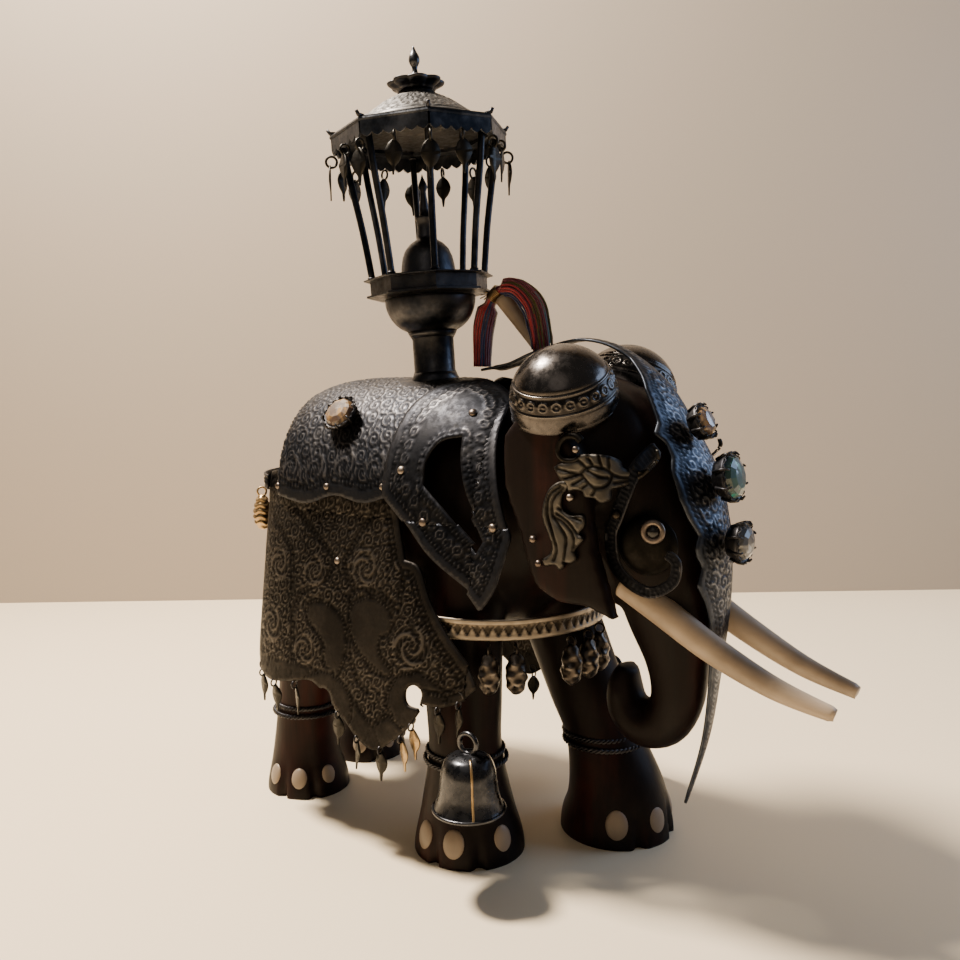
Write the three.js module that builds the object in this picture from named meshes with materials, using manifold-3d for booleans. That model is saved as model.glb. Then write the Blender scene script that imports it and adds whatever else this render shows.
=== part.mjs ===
// A carved wooden elephant in chased-metal procession dress, carrying a canopied relic shrine on its back.
// Millimetres, +Z up. The elephant faces -Y, so its left side is +X. The origin is on the ground, under the
// middle of the whole figure.
import * as THREE from "three";
import { mergeVertices } from "three/addons/utils/BufferGeometryUtils.js";
import Module from "manifold-3d";

const wasm = await Module();
wasm.setup();

// ---------------------------------------------------------------- driving dimensions
const GAP = 0.35; // clearance between pieces that touch on the real figure
const SHEET = 1; // thickness of the chased sheet metal

const TORSO = { y: 43, z: 113, halfLength: 63, halfWidth: 33, halfHeight: 42, bluntness: 4, round: 2.2 };
const DRESS = { flare: 0.16, frontShare: 0.87 }; // how far the hanging dress flares, and how wide it stays in front
const CLOTH_LIFT = 1.6; // side cloth's inner face above the wood
const SADDLE_LIFT = 3.2; // saddle plate's inner face, over the cloth
const FRAME_LIFT = 4.8; // shoulder frame's inner face, over the saddle

const SKULL = { x: 20.5, y: -29, z: 153, radius: 14.3 };
const BOSS = { radius: 16.8, wall: 1, reach: 1.75, tiltOut: 0.45, tiltForward: 0.08 };
const EAR = { x: 28.6, thick: 4.4 };

const SHRINE = { y: 37.4, z: 160.6, lean: -0.0615 };
const STEM = { radius: 7.5, wall: 1.2, height: 13.8 };
const BOWL = { radius: 16.3, height: 13, wall: 1.2 };
const TRAY = { radius: 22.3, height: 6.2, wall: 1.3, floor: 28 };
const EAVE = { radius: 30.4, z: 84, depth: 5.6, wall: 1.1, scallops: 3 };
const ROOF_HEIGHT = 13.6; // from the eave's top face to the flower on the neck
const FLOWER_HEIGHT = 2.8;
const COLUMN = { radius: 1.2, footRadius: 20.2, headRadius: 27.4 };

const BELL = { x: 47, y: -10, mouthZ: 27, radius: 11.5, height: 25, wall: 1.1, loop: 3.2 };
const BAND = { halfWidth: 36.5, depth: 35, y: 10, low: 76.4, high: 83.4 };
const BEAD = { radius: 3.8, length: 12.5, ring: 1.7, wire: 0.5 };
// Degrees round the chest band from its middle: the striding left leg leaves no room for one at 47.
const CHEST_BEAD_ANGLES = [-60, -46.5, -15, -1, 13, 62];
const LEAF = { width: 6.4, length: 11.5, thick: 0.7, ring: 1.9, wire: 0.45 };

const SIDES = [
  { side: "right", sign: -1 },
  { side: "left", sign: 1 },
];

// ---------------------------------------------------------------- materials
const finish = (color, roughness, metalness) => new THREE.MeshStandardMaterial({ color, roughness, metalness });
const EBONY = finish(0x2a1712, 0.42, 0);
const BONE = finish(0xcdbb98, 0.5, 0);
const TARNISHED = finish(0x3b3c42, 0.4, 1);
const POLISHED = finish(0x6d655c, 0.25, 1);
const BRASS = finish(0xb09a70, 0.4, 1);
const AMBER = finish(0x8a5a2a, 0.1, 0);
const GREEN = finish(0x1f6b5c, 0.1, 0);
const CLEAR = finish(0x77797a, 0.1, 0);
const SILK = finish(0x7a2430, 0.8, 0);

// ---------------------------------------------------------------- shaping tools
const figure = new THREE.Group();
const smoothstep = THREE.MathUtils.smoothstep;
const clamp = THREE.MathUtils.clamp;

/** Adds one named piece to the figure, or to a group inside it. */
function piece(name, geometry, material, parent = figure) {
  const mesh = new THREE.Mesh(geometry, material);
  mesh.name = name;
  parent.add(mesh);
  return mesh;
}

/** The geometry's bare triangles, turned round if they face inwards. */
function faceOut(geometry) {
  const plain = geometry.index ? geometry.toNonIndexed() : geometry;
  const p = plain.getAttribute("position");
  const [a, b, c] = [new THREE.Vector3(), new THREE.Vector3(), new THREE.Vector3()];
  let volume = 0;
  for (let i = 0; i < p.count; i += 3) {
    a.fromBufferAttribute(p, i);
    b.fromBufferAttribute(p, i + 1);
    c.fromBufferAttribute(p, i + 2);
    volume += a.dot(b.cross(c));
  }
  if (volume < 0) {
    for (let i = 0; i < p.count; i += 3) {
      b.fromBufferAttribute(p, i + 1);
      c.fromBufferAttribute(p, i + 2);
      p.setXYZ(i + 1, c.x, c.y, c.z);
      p.setXYZ(i + 2, b.x, b.y, b.z);
    }
  }
  return new THREE.BufferGeometry().setAttribute("position", p);
}

/** Moves every vertex of a geometry: move(x, y, z) gives its new place. */
function reshape(geometry, move) {
  const p = geometry.getAttribute("position");
  for (let i = 0; i < p.count; i++) {
    const to = move(p.getX(i), p.getY(i), p.getZ(i));
    p.setXYZ(i, to.x, to.y, to.z);
  }
  return faceOut(geometry);
}

function toSolid(geometry) {
  const merged = mergeVertices(faceOut(geometry), 1e-4);
  const vertProperties = merged.getAttribute("position").array;
  return new wasm.Manifold(
    new wasm.Mesh({ numProp: 3, vertProperties, triVerts: new Uint32Array(merged.index.array) }),
  );
}

function fromSolid(solid) {
  const mesh = solid.getMesh();
  return new THREE.BufferGeometry()
    .setAttribute("position", new THREE.BufferAttribute(Float32Array.from(mesh.vertProperties), 3))
    .setIndex(new THREE.BufferAttribute(Uint32Array.from(mesh.triVerts), 1));
}

/** One closed geometry from several that overlap. */
const joined = (...parts) => fromSolid(parts.map(toSolid).reduce((whole, next) => whole.add(next)));

/** A geometry with others cut out of it. */
const cut = (whole, ...tools) => fromSolid(tools.reduce((rest, tool) => rest.subtract(toSolid(tool)), toSolid(whole)));

/** What two geometries share. */
const common = (one, other) => fromSolid(toSolid(one).intersect(toSolid(other)));

/** A piece turned about Z from its [radius, height] profile. */
function turned(profile, segments = 16) {
  const points = profile.map(([r, z]) => new THREE.Vector2(r, z));
  return faceOut(new THREE.LatheGeometry(points, segments).rotateX(Math.PI / 2));
}

/** A ring of round wire in the plane whose normal is X, Y or Z. */
function ring(radius, wire, normal = "z", around = 14, sides = 6) {
  const torus = new THREE.TorusGeometry(radius, wire, sides, around);
  if (normal === "x") torus.rotateY(Math.PI / 2);
  if (normal === "y") torus.rotateX(Math.PI / 2);
  return faceOut(torus);
}

/** An outline in (y, z) stood up and thickened along X, from one x to the other. */
function prism(outline, fromX, toX) {
  const shape = outline instanceof THREE.Shape ? outline : new THREE.Shape(outline.map((p) => new THREE.Vector2(...p)));
  const options = { depth: Math.abs(toX - fromX), bevelEnabled: false, curveSegments: 4 };
  const low = Math.min(fromX, toX);
  return reshape(new THREE.ExtrudeGeometry(shape, options), (y, z, x) => new THREE.Vector3(low + x, y, z));
}

/** A smooth closed outline through a few points. */
function smoothOutline(points, steps) {
  const curve = new THREE.CatmullRomCurve3(points.map(([y, z]) => new THREE.Vector3(y, z, 0)), true, "centripetal");
  return curve.getPoints(steps).slice(0, -1).map((p) => [p.x, p.y]);
}

/**
 * A limb of oval sections through stations { at, across, deep }: across lies nearest to X, and deep is square to
 * it and to the limb's line. grow makes every section larger.
 */
function limb(stations, rings = 12, sides = 12, grow = 0) {
  const line = new THREE.CatmullRomCurve3(stations.map((s) => new THREE.Vector3(...s.at)), false, "centripetal");
  const sizes = stations.map((s) => new THREE.Vector3(s.across + grow, s.deep + grow, 0));
  const size = new THREE.CatmullRomCurve3(sizes, false, "catmullrom", 0.5);
  return reshape(new THREE.CylinderGeometry(1, 1, 1, sides, rings), (x, y, z) => {
    const t = clamp(y + 0.5, 0, 1);
    const along = line.getTangent(t);
    const side = new THREE.Vector3(1, 0, 0).addScaledVector(along, -along.x).normalize();
    const out = new THREE.Vector3().crossVectors(side, along).normalize();
    const s = size.getPoint(t);
    return line.getPoint(t).addScaledVector(side, x * s.x).addScaledVector(out, z * s.y);
  });
}

/** A sheet over surface(u, v), u and v from 0 to 1, between lift and lift + thick above it. */
function sheet(nu, nv, surface, lift = 0, thick = SHEET) {
  const d = 1e-3;
  return reshape(new THREE.BoxGeometry(1, 1, 1, nu, nv, 1), (x, y, z) => {
    const [u, v] = [x + 0.5, y + 0.5];
    const du = surface(u + d, v).sub(surface(u - d, v));
    const dv = surface(u, v + d).sub(surface(u, v - d));
    const normal = du.cross(dv).normalize();
    return surface(u, v).addScaledVector(normal, lift + (z + 0.5) * thick);
  });
}

/** A straight-line reading of a list of [key, value] pairs. */
function between(table, key) {
  const next = table.findIndex(([k]) => k > key);
  if (next === 0) return table[0][1];
  if (next < 0) return table[table.length - 1][1];
  const [[k0, v0], [k1, v1]] = [table[next - 1], table[next]];
  return v0 + ((v1 - v0) * (key - k0)) / (k1 - k0);
}

// ---------------------------------------------------------------- carved body
/** The torso's half width and half height at y, as a share of their largest. */
function torsoShare(y, lift = 0) {
  const t = Math.min(1, Math.abs(y - TORSO.y) / (TORSO.halfLength + lift));
  return Math.pow(1 - Math.pow(t, TORSO.bluntness), 1 / TORSO.round);
}

function torso(grow) {
  return reshape(new THREE.CylinderGeometry(1, 1, 1, 22, 10), (x, y, z) => {
    const at = TORSO.y + (TORSO.halfLength + grow) * Math.sin(y * Math.PI * 0.985);
    const share = torsoShare(at, grow);
    const [wide, high] = [TORSO.halfWidth + grow, TORSO.halfHeight + grow];
    return new THREE.Vector3(wide * share * x, at, TORSO.z + high * share * z);
  });
}

const NECK = [
  { at: [0, 30, 118], across: 28, deep: 33 },
  { at: [0, 8, 118], across: 28, deep: 31 },
  { at: [0, -12, 121], across: 26, deep: 27 },
  { at: [0, -30, 124], across: 20, deep: 21 },
];

const FACE = [
  { at: [0, -20, 146], across: 18, deep: 17 },
  { at: [0, -37, 136], across: 22, deep: 21 },
  { at: [0, -46, 120], across: 21, deep: 21 },
  { at: [0, -52.5, 102], across: 17, deep: 17.5 },
  { at: [0, -55.5, 85], across: 13, deep: 14.5 },
  { at: [0, -58, 70], across: 10.4, deep: 10 },
  { at: [0, -58, 58], across: 9, deep: 8.4 },
  { at: [0, -53.5, 49.5], across: 8.4, deep: 8 },
  { at: [0, -46, 47.5], across: 8, deep: 7.4 },
  { at: [0, -40.5, 52.5], across: 8, deep: 6.4 },
  { at: [0, -39.5, 60], across: 7.4, deep: 5.2 },
  { at: [0, -41, 66], across: 5, deep: 3 },
];

const JAW = [
  { at: [0, -26, 106], across: 18, deep: 14 },
  { at: [0, -36, 96], across: 14, deep: 10 },
  { at: [0, -42, 89], across: 7, deep: 5 },
];

const TAIL = [
  { at: [0, 98, 122], across: 3.4, deep: 3 },
  { at: [0, 104.5, 108], across: 3.2, deep: 2.8 },
  { at: [0, 105.5, 88], across: 2.7, deep: 2.4 },
  { at: [0, 105, 70], across: 4, deep: 2.6 },
  { at: [0, 104.5, 58], across: 1, deep: 1 },
];

const LEGS = [
  { x: -23, y: 8.5, foot: 19, ankle: 12.6, hipY: 12 },
  { x: 18, y: -26.5, foot: 20, ankle: 13, hipY: 6 },
  { x: -19.4, y: 90.5, foot: 16, ankle: 11.4, hipY: 82 },
  { x: 19.4, y: 94.5, foot: 16, ankle: 11.4, hipY: 82 },
];
const ANKLE_Z = 34;
const HIP_Z = 100;

function leg({ x, y, foot, ankle, hipY }, grow) {
  const yAt = (z) => y + ((hipY - y) * (z - ANKLE_Z * 0.6)) / (HIP_Z - ANKLE_Z * 0.6);
  const stations = [
    { at: [x * 0.86, hipY, HIP_Z], across: 12, deep: 16 },
    { at: [x * 0.93, yAt(74), 74], across: 12.6, deep: 14.4 },
    { at: [x * 0.98, yAt(50), 50], across: ankle, deep: ankle + 0.6 },
    { at: [x, yAt(ANKLE_Z), ANKLE_Z], across: ankle, deep: ankle },
    { at: [x, y, 15], across: foot - 3.4, deep: foot - 2.8 },
    { at: [x, y - 0.5, 3], across: foot - 0.4, deep: foot },
    { at: [x, y - 0.5, -8], across: foot - 0.4, deep: foot },
  ];
  return limb(stations, 9, 10, grow);
}

/** The whole carving, with every part of it larger by grow. */
function carving(grow = 0) {
  const lumps = SIDES.flatMap(({ sign }) => [
    new THREE.SphereGeometry(SKULL.radius + grow, 12, 9).translate(sign * SKULL.x, SKULL.y, SKULL.z),
    new THREE.SphereGeometry(1, 12, 8).scale(17 + grow, 22 + grow, 24 + grow).translate(sign * 11, -34, 133),
  ]);
  const limbs = [limb(NECK, 4, 16, grow), limb(FACE, 18, 12, grow), limb(JAW, 3, 8, grow), limb(TAIL, 7, 6, grow)];
  const legs = LEGS.map((each) => leg(each, grow));
  const floor = new THREE.BoxGeometry(200, 300, 20).translate(0, 20, -10);
  return cut(joined(torso(grow), ...limbs, ...lumps, ...legs), floor);
}

piece("elephant_body", carving(), EBONY);
const BODY_ROOM = toSolid(carving(GAP)); // what the pieces on the carving must stay out of
const clearOfBody = (geometry) => fromSolid(toSolid(geometry).subtract(BODY_ROOM));

/** The largest closed body of a geometry that a cut may have left in several. */
function largest(geometry) {
  const bodies = toSolid(geometry).decompose();
  return fromSolid(bodies.reduce((best, next) => (next.volume() > best.volume() ? next : best)));
}

// ---------------------------------------------------------------- ears and tusks
const EAR_OUTLINE = [
  [-20, 149],
  [-31, 147],
  [-40, 138],
  [-44, 124],
  [-46, 110],
  [-50, 98],
  [-53, 88.5],
  [-44, 92],
  [-34, 92.5],
  [-25, 98],
  [-20, 112],
  [-15, 126],
  [-14, 140],
];

const TUSK = [
  { x: 13, y: -46, z: 96, radius: 4.4 },
  { x: 13.7, y: -57, z: 90.5, radius: 4.6 },
  { x: 13.6, y: -75, z: 80, radius: 4.2 },
  { x: 12.6, y: -93, z: 71.5, radius: 3.3 },
  { x: 11.4, y: -109.6, z: 66.6, radius: 2.2 },
];

for (const { side, sign } of SIDES) {
  const ear = prism(smoothOutline(EAR_OUTLINE, 30), sign * EAR.x, sign * (EAR.x + EAR.thick));
  const bossRoom = new THREE.SphereGeometry(BOSS.radius + GAP, 16, 12).translate(sign * SKULL.x, SKULL.y, SKULL.z);
  piece("ear_" + side, largest(clearOfBody(cut(ear, bossRoom))), EBONY);
  const tusk = limb(TUSK.map(({ x, y, z, radius }) => ({ at: [sign * x, y, z], across: radius, deep: radius })), 7, 9);
  piece("tusk_" + side, largest(clearOfBody(tusk)), BONE);
}

// ---------------------------------------------------------------- dress over the back and flanks
/** How wide the dress stands at y: it follows the rump, but stays wide over the shoulders. */
function dressShare(y) {
  const share = torsoShare(y, CLOTH_LIFT);
  return y < TORSO.y ? Math.max(share, DRESS.frontShare) : share;
}

/** The dress's line: across from 0 on the ridge, through 1 at the widest height, down to 2 near the ground. */
function dressSurface(across, y) {
  const share = dressShare(y);
  const [wide, high] = [TORSO.halfWidth * share, TORSO.halfHeight * share];
  const side = Math.sign(across) || 1;
  const a = Math.abs(across);
  if (a <= 1) {
    const angle = (a * Math.PI) / 2;
    return new THREE.Vector3(side * wide * Math.sin(angle), y, TORSO.z + high * Math.cos(angle));
  }
  const drop = (a - 1) * 95;
  return new THREE.Vector3(side * (wide + drop * DRESS.flare * Math.min(1, share * 1.2)), y, TORSO.z - drop);
}

/** The dress sheet over one side, or over both, as high above the wood as lift. */
function dressSheet(lift, fromAcross, toAcross, fromY, toY, na = 18, ny = 22) {
  const surface = (u, v) =>
    dressSurface(THREE.MathUtils.lerp(fromAcross, toAcross, u), THREE.MathUtils.lerp(toY, fromY, v));
  const outward = toAcross > fromAcross ? -1 : 1;
  return sheet(na, ny, surface, outward * lift, outward * SHEET);
}

const CLOTH_OUTLINE = [
  [29, 126],
  [25, 110],
  [22, 100],
  [16, 98],
  [11, 88],
  [5, 79],
  [0, 73],
  [-5, 67],
  [-8, 62.5],
  [-3, 58],
  [4, 55],
  [10, 55],
  [14, 49],
  [18, 44],
  [28, 37],
  [36, 39],
  [43, 44],
  [52, 50],
  [60, 54],
  [70, 52],
  [82, 50],
  [90, 52],
  [96, 66],
  [98, 84],
  [97, 104],
  [95, 124],
];

/** A comma-shaped slot at (y, z), its round head up and its tail curling down and forward. */
function commaSlot(y, z) {
  const outline = [
    [y + 3.4, z + 3],
    [y, z + 6],
    [y - 3.4, z + 3],
    [y - 2.6, z - 2],
    [y - 1, z - 6],
    [y + 2, z - 9],
    [y + 4.4, z - 6],
    [y + 3, z - 2],
  ];
  return smoothOutline(outline, 12);
}

for (const { side, sign } of SIDES) {
  const hung = common(dressSheet(CLOTH_LIFT, sign * 0.62, sign * 1.86, -12, 100, 9, 12), prism(CLOTH_OUTLINE, sign, sign * 80));
  const slots = [commaSlot(15, 61), commaSlot(52, 65)].map((outline) => prism(outline, sign, sign * 80));
  piece("side_cloth_" + side, largest(clearOfBody(cut(hung, ...slots))), TARNISHED);
}

const SADDLE_OUTLINE = [
  [84, 117],
  [68, 115.5],
  [54, 119],
  [40, 117.5],
  [26.5, 121],
  [24.4, 133],
  [21.5, 146],
  [17, 170],
  [87, 170],
];
const saddleSheet = dressSheet(SADDLE_LIFT, -1.1, 1.1, 15, 92, 16, 6);
piece("saddle_plate", clearOfBody(common(saddleSheet, prism(SADDLE_OUTLINE, -80, 80))), TARNISHED);

const FRAME_OUTER = [
  [22, 152],
  [13, 153.5],
  [2, 150.5],
  [-5, 146],
  [-8, 137],
  [-13, 123],
  [-18.5, 110],
  [-16, 101],
  [-13.4, 93],
  [-9, 86.5],
  [-0.6, 94],
  [11, 102.5],
  [21, 112.5],
  [30, 120],
  [31, 125],
  [30, 139],
  [28, 147],
];
const FRAME_INNER = [
  [5, 138],
  [3, 130],
  [0, 122],
  [-4, 114.5],
  [-8.3, 108],
  [-6, 104],
  [5, 116],
  [14.4, 124.3],
  [14.7, 131.5],
  [11.5, 136.5],
];

for (const { side, sign } of SIDES) {
  const over = dressSheet(FRAME_LIFT, sign * 0.1, sign * 1.4, -22, 34, 7, 6);
  const plate = cut(common(over, prism(FRAME_OUTER, sign, sign * 80)), prism(FRAME_INNER, sign, sign * 80));
  piece("shoulder_frame_" + side, largest(clearOfBody(plate)), TARNISHED);
}

// ---------------------------------------------------------------- claw settings and stones
/** A cup-shaped claw collet opening along +Z, its back at z = 0. */
function collet(radius, height) {
  const wall = 0.8;
  const inside = radius - wall;
  return turned(
    [
      [0, 0],
      [radius * 0.72, 0],
      [radius * 0.8, height * 0.45],
      [radius, height],
      [inside, height],
      [inside * 0.82, height * 0.5],
      [0, height * 0.4],
    ],
    14,
  );
}

/** A round faceted stone that sits in a collet, its girdle just inside the rim. */
function stone(radius, height) {
  const girdle = radius - 0.8 - GAP;
  return turned(
    [
      [0, height * 0.4 + GAP],
      [girdle * 0.7, height * 0.62],
      [girdle, height],
      [girdle * 0.72, height + radius * 0.3],
      [0, height + radius * 0.34],
    ],
    10,
  );
}

/** Puts a piece that opens along +Z at a place, turned to face along a direction. */
function facing(geometry, place, direction) {
  const turn = new THREE.Quaternion().setFromUnitVectors(new THREE.Vector3(0, 0, 1), direction.clone().normalize());
  return geometry.applyQuaternion(turn).translate(place.x, place.y, place.z);
}

const SADDLE_STONE = { across: 0.5, y: 57, radius: 6.9, height: 3.2 };

for (const { side, sign } of SIDES) {
  const { across, y, radius, height } = SADDLE_STONE;
  const at = dressSurface(sign * across, y);
  const out = new THREE.Vector3(at.x / TORSO.halfWidth ** 2, 0, (at.z - TORSO.z) / TORSO.halfHeight ** 2).normalize();
  const seat = at.clone().addScaledVector(out, SADDLE_LIFT + SHEET + GAP + 0.5);
  piece("saddle_setting_" + side, facing(collet(radius, height), seat, out), TARNISHED);
  piece("saddle_stone_" + side, facing(stone(radius, height), seat, out), AMBER);
}

// ---------------------------------------------------------------- head dress
for (const { side, sign } of SIDES) {
  const arc = (radius, steps) =>
    Array.from({ length: steps + 1 }, (_, i) => {
      const angle = (BOSS.reach * i) / steps;
      return [radius * Math.sin(angle), radius * Math.cos(angle)];
    });
  const profile = [...arc(BOSS.radius, 5), ...arc(BOSS.radius - BOSS.wall, 5).reverse()];
  const boss = turned(profile, 16).rotateX(BOSS.tiltForward).rotateY(sign * BOSS.tiltOut);
  piece("head_boss_" + side, largest(clearOfBody(boss.translate(sign * SKULL.x, SKULL.y, SKULL.z))), POLISHED);
}

const FACE_LINE = [
  [13, 161.6],
  [2, 163.5],
  [-9.5, 167.5],
  [-24, 170.5],
  [-38, 167],
  [-50, 157],
  [-60.5, 141],
  [-67.4, 128],
  [-70, 118],
  [-71.6, 107],
  [-71.6, 88],
  [-69.6, 66],
  [-66.6, 46],
  [-60.2, 24],
];
/** Half width of the face plate against height on its front, with its cusps. */
const FACE_WIDTH = [
  [24, 0.5],
  [30, 2.6],
  [84, 3.3],
  [88, 6.5],
  [92, 4.6],
  [98, 7],
  [102, 10],
  [106, 7.5],
  [110, 11],
  [113, 9.4],
  [118, 13],
  [129, 14.5],
  [134, 12],
  [139, 12.5],
  [144, 14.6],
  [148, 10.5],
  [156, 8],
  [163, 3.2],
];
const BACK_WIDTH = [
  [-38, 2.8],
  [-20, 2.8],
  [-6, 6],
  [4, 5],
  [13, 6],
];

function facePlate() {
  const line = new THREE.CatmullRomCurve3(FACE_LINE.map(([y, z]) => new THREE.Vector3(0, y, z)), false, "centripetal");
  const surface = (u, v) => {
    const p = line.getPointAt(clamp(v, 0, 1));
    const half = p.y > -38 ? between(BACK_WIDTH, p.y) : between(FACE_WIDTH, p.z);
    const x = (1 - 2 * u) * half;
    const bend = (x * x) / 60; // the plate wraps round the forehead
    const front = smoothstep(-p.y, 38, 60);
    return new THREE.Vector3(x, p.y + bend * front, p.z - bend * (1 - front));
  };
  return sheet(4, 34, surface, 0, SHEET);
}
piece("face_plate", largest(clearOfBody(facePlate())), TARNISHED);

const BROW = [
  { name: "top", y: -62.2, z: 144.4, radius: 5.8, height: 4.2, material: AMBER, rise: 0.42 },
  { name: "middle", y: -70.6, z: 128.8, radius: 7.8, height: 4.6, material: GREEN, rise: 0.16 },
  { name: "bottom", y: -74.4, z: 110, radius: 6.5, height: 4.6, material: CLEAR, rise: 0 },
];
for (const { name, y, z, radius, height, material, rise } of BROW) {
  const out = new THREE.Vector3(0, -1, rise);
  const seat = new THREE.Vector3(0, y, z);
  piece("brow_setting_" + name, facing(collet(radius, height), seat, out), TARNISHED);
  piece("brow_stone_" + name, facing(stone(radius, height), seat, out), material);
}

/** A flat strip along a path in (y, z), as wide as width(t), from one x to the other. */
function strip(points, width, fromX, toX, steps = 22) {
  const line = new THREE.CatmullRomCurve3(points.map(([y, z]) => new THREE.Vector3(y, z, 0)), false, "centripetal");
  const edge = (side) =>
    Array.from({ length: steps + 1 }, (_, i) => {
      const t = i / steps;
      const along = line.getTangent(t);
      const p = line.getPoint(t);
      return [p.x - (along.y * side * width(t)) / 2, p.y + (along.x * side * width(t)) / 2];
    });
  return prism([...edge(1), ...edge(-1).reverse()], fromX, toX);
}

const CHEEK_SCROLL = [
  [-62.6, 139.5],
  [-55.4, 132.6],
  [-49.6, 119],
  [-47.6, 112.7],
  [-50, 103],
  [-59.2, 97.6],
  [-67, 101],
  [-68.5, 107],
  [-65.5, 109.4],
];
const EAR_LEAF_LOWER = [
  [-32, 129],
  [-36, 122],
  [-31, 112],
  [-34, 104],
  [-38, 101],
];
const EAR_LEAF_UPPER = [
  [-33, 126],
  [-38, 133],
  [-46, 138],
  [-54, 141.5],
];

for (const { side, sign } of SIDES) {
  const scroll = strip(CHEEK_SCROLL, () => 3.4, sign * 24.4, sign * 25.6, 26);
  piece("cheek_scroll_" + side, scroll, TARNISHED);
  const leafX = EAR.x + EAR.thick + GAP;
  const lower = strip(EAR_LEAF_LOWER, (t) => 6.5 * Math.sqrt(1.04 - t), sign * leafX, sign * (leafX + 0.8), 14);
  const upper = strip(EAR_LEAF_UPPER, (t) => 6.5 * Math.sqrt(1.06 - t), sign * leafX, sign * (leafX + 0.8), 14);
  piece("ear_leaf_" + side, joined(lower, upper), TARNISHED);
}

// ---------------------------------------------------------------- chest band, beads and bells
const chestPoint = (angle, beyond = 0) =>
  new THREE.Vector3(
    (BAND.halfWidth + beyond) * Math.sin(angle),
    BAND.y - (BAND.depth + beyond) * Math.cos(angle),
    BAND.low,
  );

const bandSheet = sheet(28, 1, (u, v) => {
  const p = chestPoint(THREE.MathUtils.lerp(-1.62, 1.62, u));
  return p.setZ(THREE.MathUtils.lerp(BAND.low, BAND.high, v));
});
piece("chest_band", largest(clearOfBody(bandSheet)), BRASS);

/** A ridged cast bead hanging from z = 0 by its wire ring; the ring's plane has X for its normal. */
function bead() {
  const top = -BEAD.ring * 2 - BEAD.wire;
  const profile = [[0, top + 1.2]];
  const ridges = 3;
  for (let i = 0; i <= ridges * 2; i++) {
    const t = i / (ridges * 2);
    const swell = Math.sin(Math.PI * (0.14 + 0.72 * t)) * (i % 2 ? 1 : 0.86);
    profile.push([BEAD.radius * swell, top - BEAD.length * t]);
  }
  profile.push([0, top - BEAD.length - 1]);
  return joined(turned(profile, 8), ring(BEAD.ring, BEAD.wire, "x", 8, 4).translate(0, 0, -BEAD.ring));
}

/** Hangs a piece at a place with its ring's plane square to the direction it swings out in. */
function hung(name, geometry, material, place, outward) {
  const mesh = piece(name, geometry, material);
  mesh.position.copy(place);
  mesh.rotation.z = outward;
  return mesh;
}

CHEST_BEAD_ANGLES.forEach((degrees, i) => {
  const angle = THREE.MathUtils.degToRad(degrees);
  const place = chestPoint(angle, 1.2).setZ(BAND.low - GAP - BEAD.wire);
  hung("chest_bead_" + (i + 1), bead(), BRASS, place, angle);
});

function bell() {
  const { radius, height, wall, loop } = BELL;
  const body = height - loop * 2 - 0.6;
  const outer = [
    [radius, 0],
    [radius * 0.9, body * 0.16],
    [radius * 0.8, body * 0.45],
    [radius * 0.74, body * 0.72],
    [radius * 0.55, body * 0.92],
    [0, body],
  ];
  const inner = [
    [0, body - wall],
    [radius * 0.5 - 0.2, body * 0.92 - wall],
    [radius * 0.74 - wall, body * 0.72 - 0.6],
    [radius * 0.8 - wall, body * 0.45],
    [radius * 0.9 - wall, body * 0.16],
    [radius - wall, 0],
  ];
  return joined(turned([...inner, ...outer], 12), ring(loop, 0.7, "x", 10, 5).translate(0, 0, body + loop - 0.2));
}

function clapper() {
  const rod = new THREE.CylinderGeometry(0.6, 0.6, 11, 6).rotateX(Math.PI / 2).translate(0, 0, -5.5);
  return joined(rod, new THREE.SphereGeometry(2.4, 8, 6).translate(0, 0, -12));
}

for (const { side, sign } of SIDES) {
  const hanging = new THREE.Group();
  hanging.position.set(sign * BELL.x, BELL.y, BELL.mouthZ);
  figure.add(hanging);
  piece("bell_" + side, bell(), TARNISHED, hanging);
  piece("clapper_" + side, clapper().translate(0, 0, 16), TARNISHED, hanging);
}

// ---------------------------------------------------------------- rear strap
const REAR = { lift: 3.6, reach: 31, low: 118.5, high: 124 };

/** Where a band round the rump stands at x. */
function rumpPoint(x) {
  const share = Math.min(1, Math.abs(x) / (TORSO.halfWidth + REAR.lift));
  const t = Math.pow(1 - Math.pow(share, TORSO.round), 1 / TORSO.bluntness);
  return new THREE.Vector3(x, TORSO.y + (TORSO.halfLength + REAR.lift) * t, REAR.low);
}
const rearSheet = sheet(20, 1, (u, v) => {
  const angle = THREE.MathUtils.lerp(-1, 1, u);
  const p = rumpPoint(REAR.reach * Math.sin((angle * Math.PI) / 2));
  return p.setZ(THREE.MathUtils.lerp(REAR.high, REAR.low, v));
}, 0, 0.9);
piece("rear_strap", largest(clearOfBody(rearSheet)), TARNISHED);

for (const { side, sign } of SIDES) {
  const place = rumpPoint(sign * 22).add(new THREE.Vector3(sign * 1.6, 2.6, -GAP - BEAD.wire));
  hung("rear_bead_" + side, bead(), BRASS, place, sign * 2.2);
}

// ---------------------------------------------------------------- shrine
const shrine = new THREE.Group();
shrine.position.set(0, SHRINE.y, SHRINE.z);
shrine.rotation.x = SHRINE.lean;
figure.add(shrine);
shrine.updateMatrixWorld(true);

const stemShape = turned([
  [STEM.radius, 0],
  [STEM.radius, STEM.height],
  [STEM.radius - STEM.wall, STEM.height],
  [STEM.radius - STEM.wall, 0],
  [STEM.radius, 0],
], 20);
piece("pavilion_stem", stemShape, TARNISHED, shrine);

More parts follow.
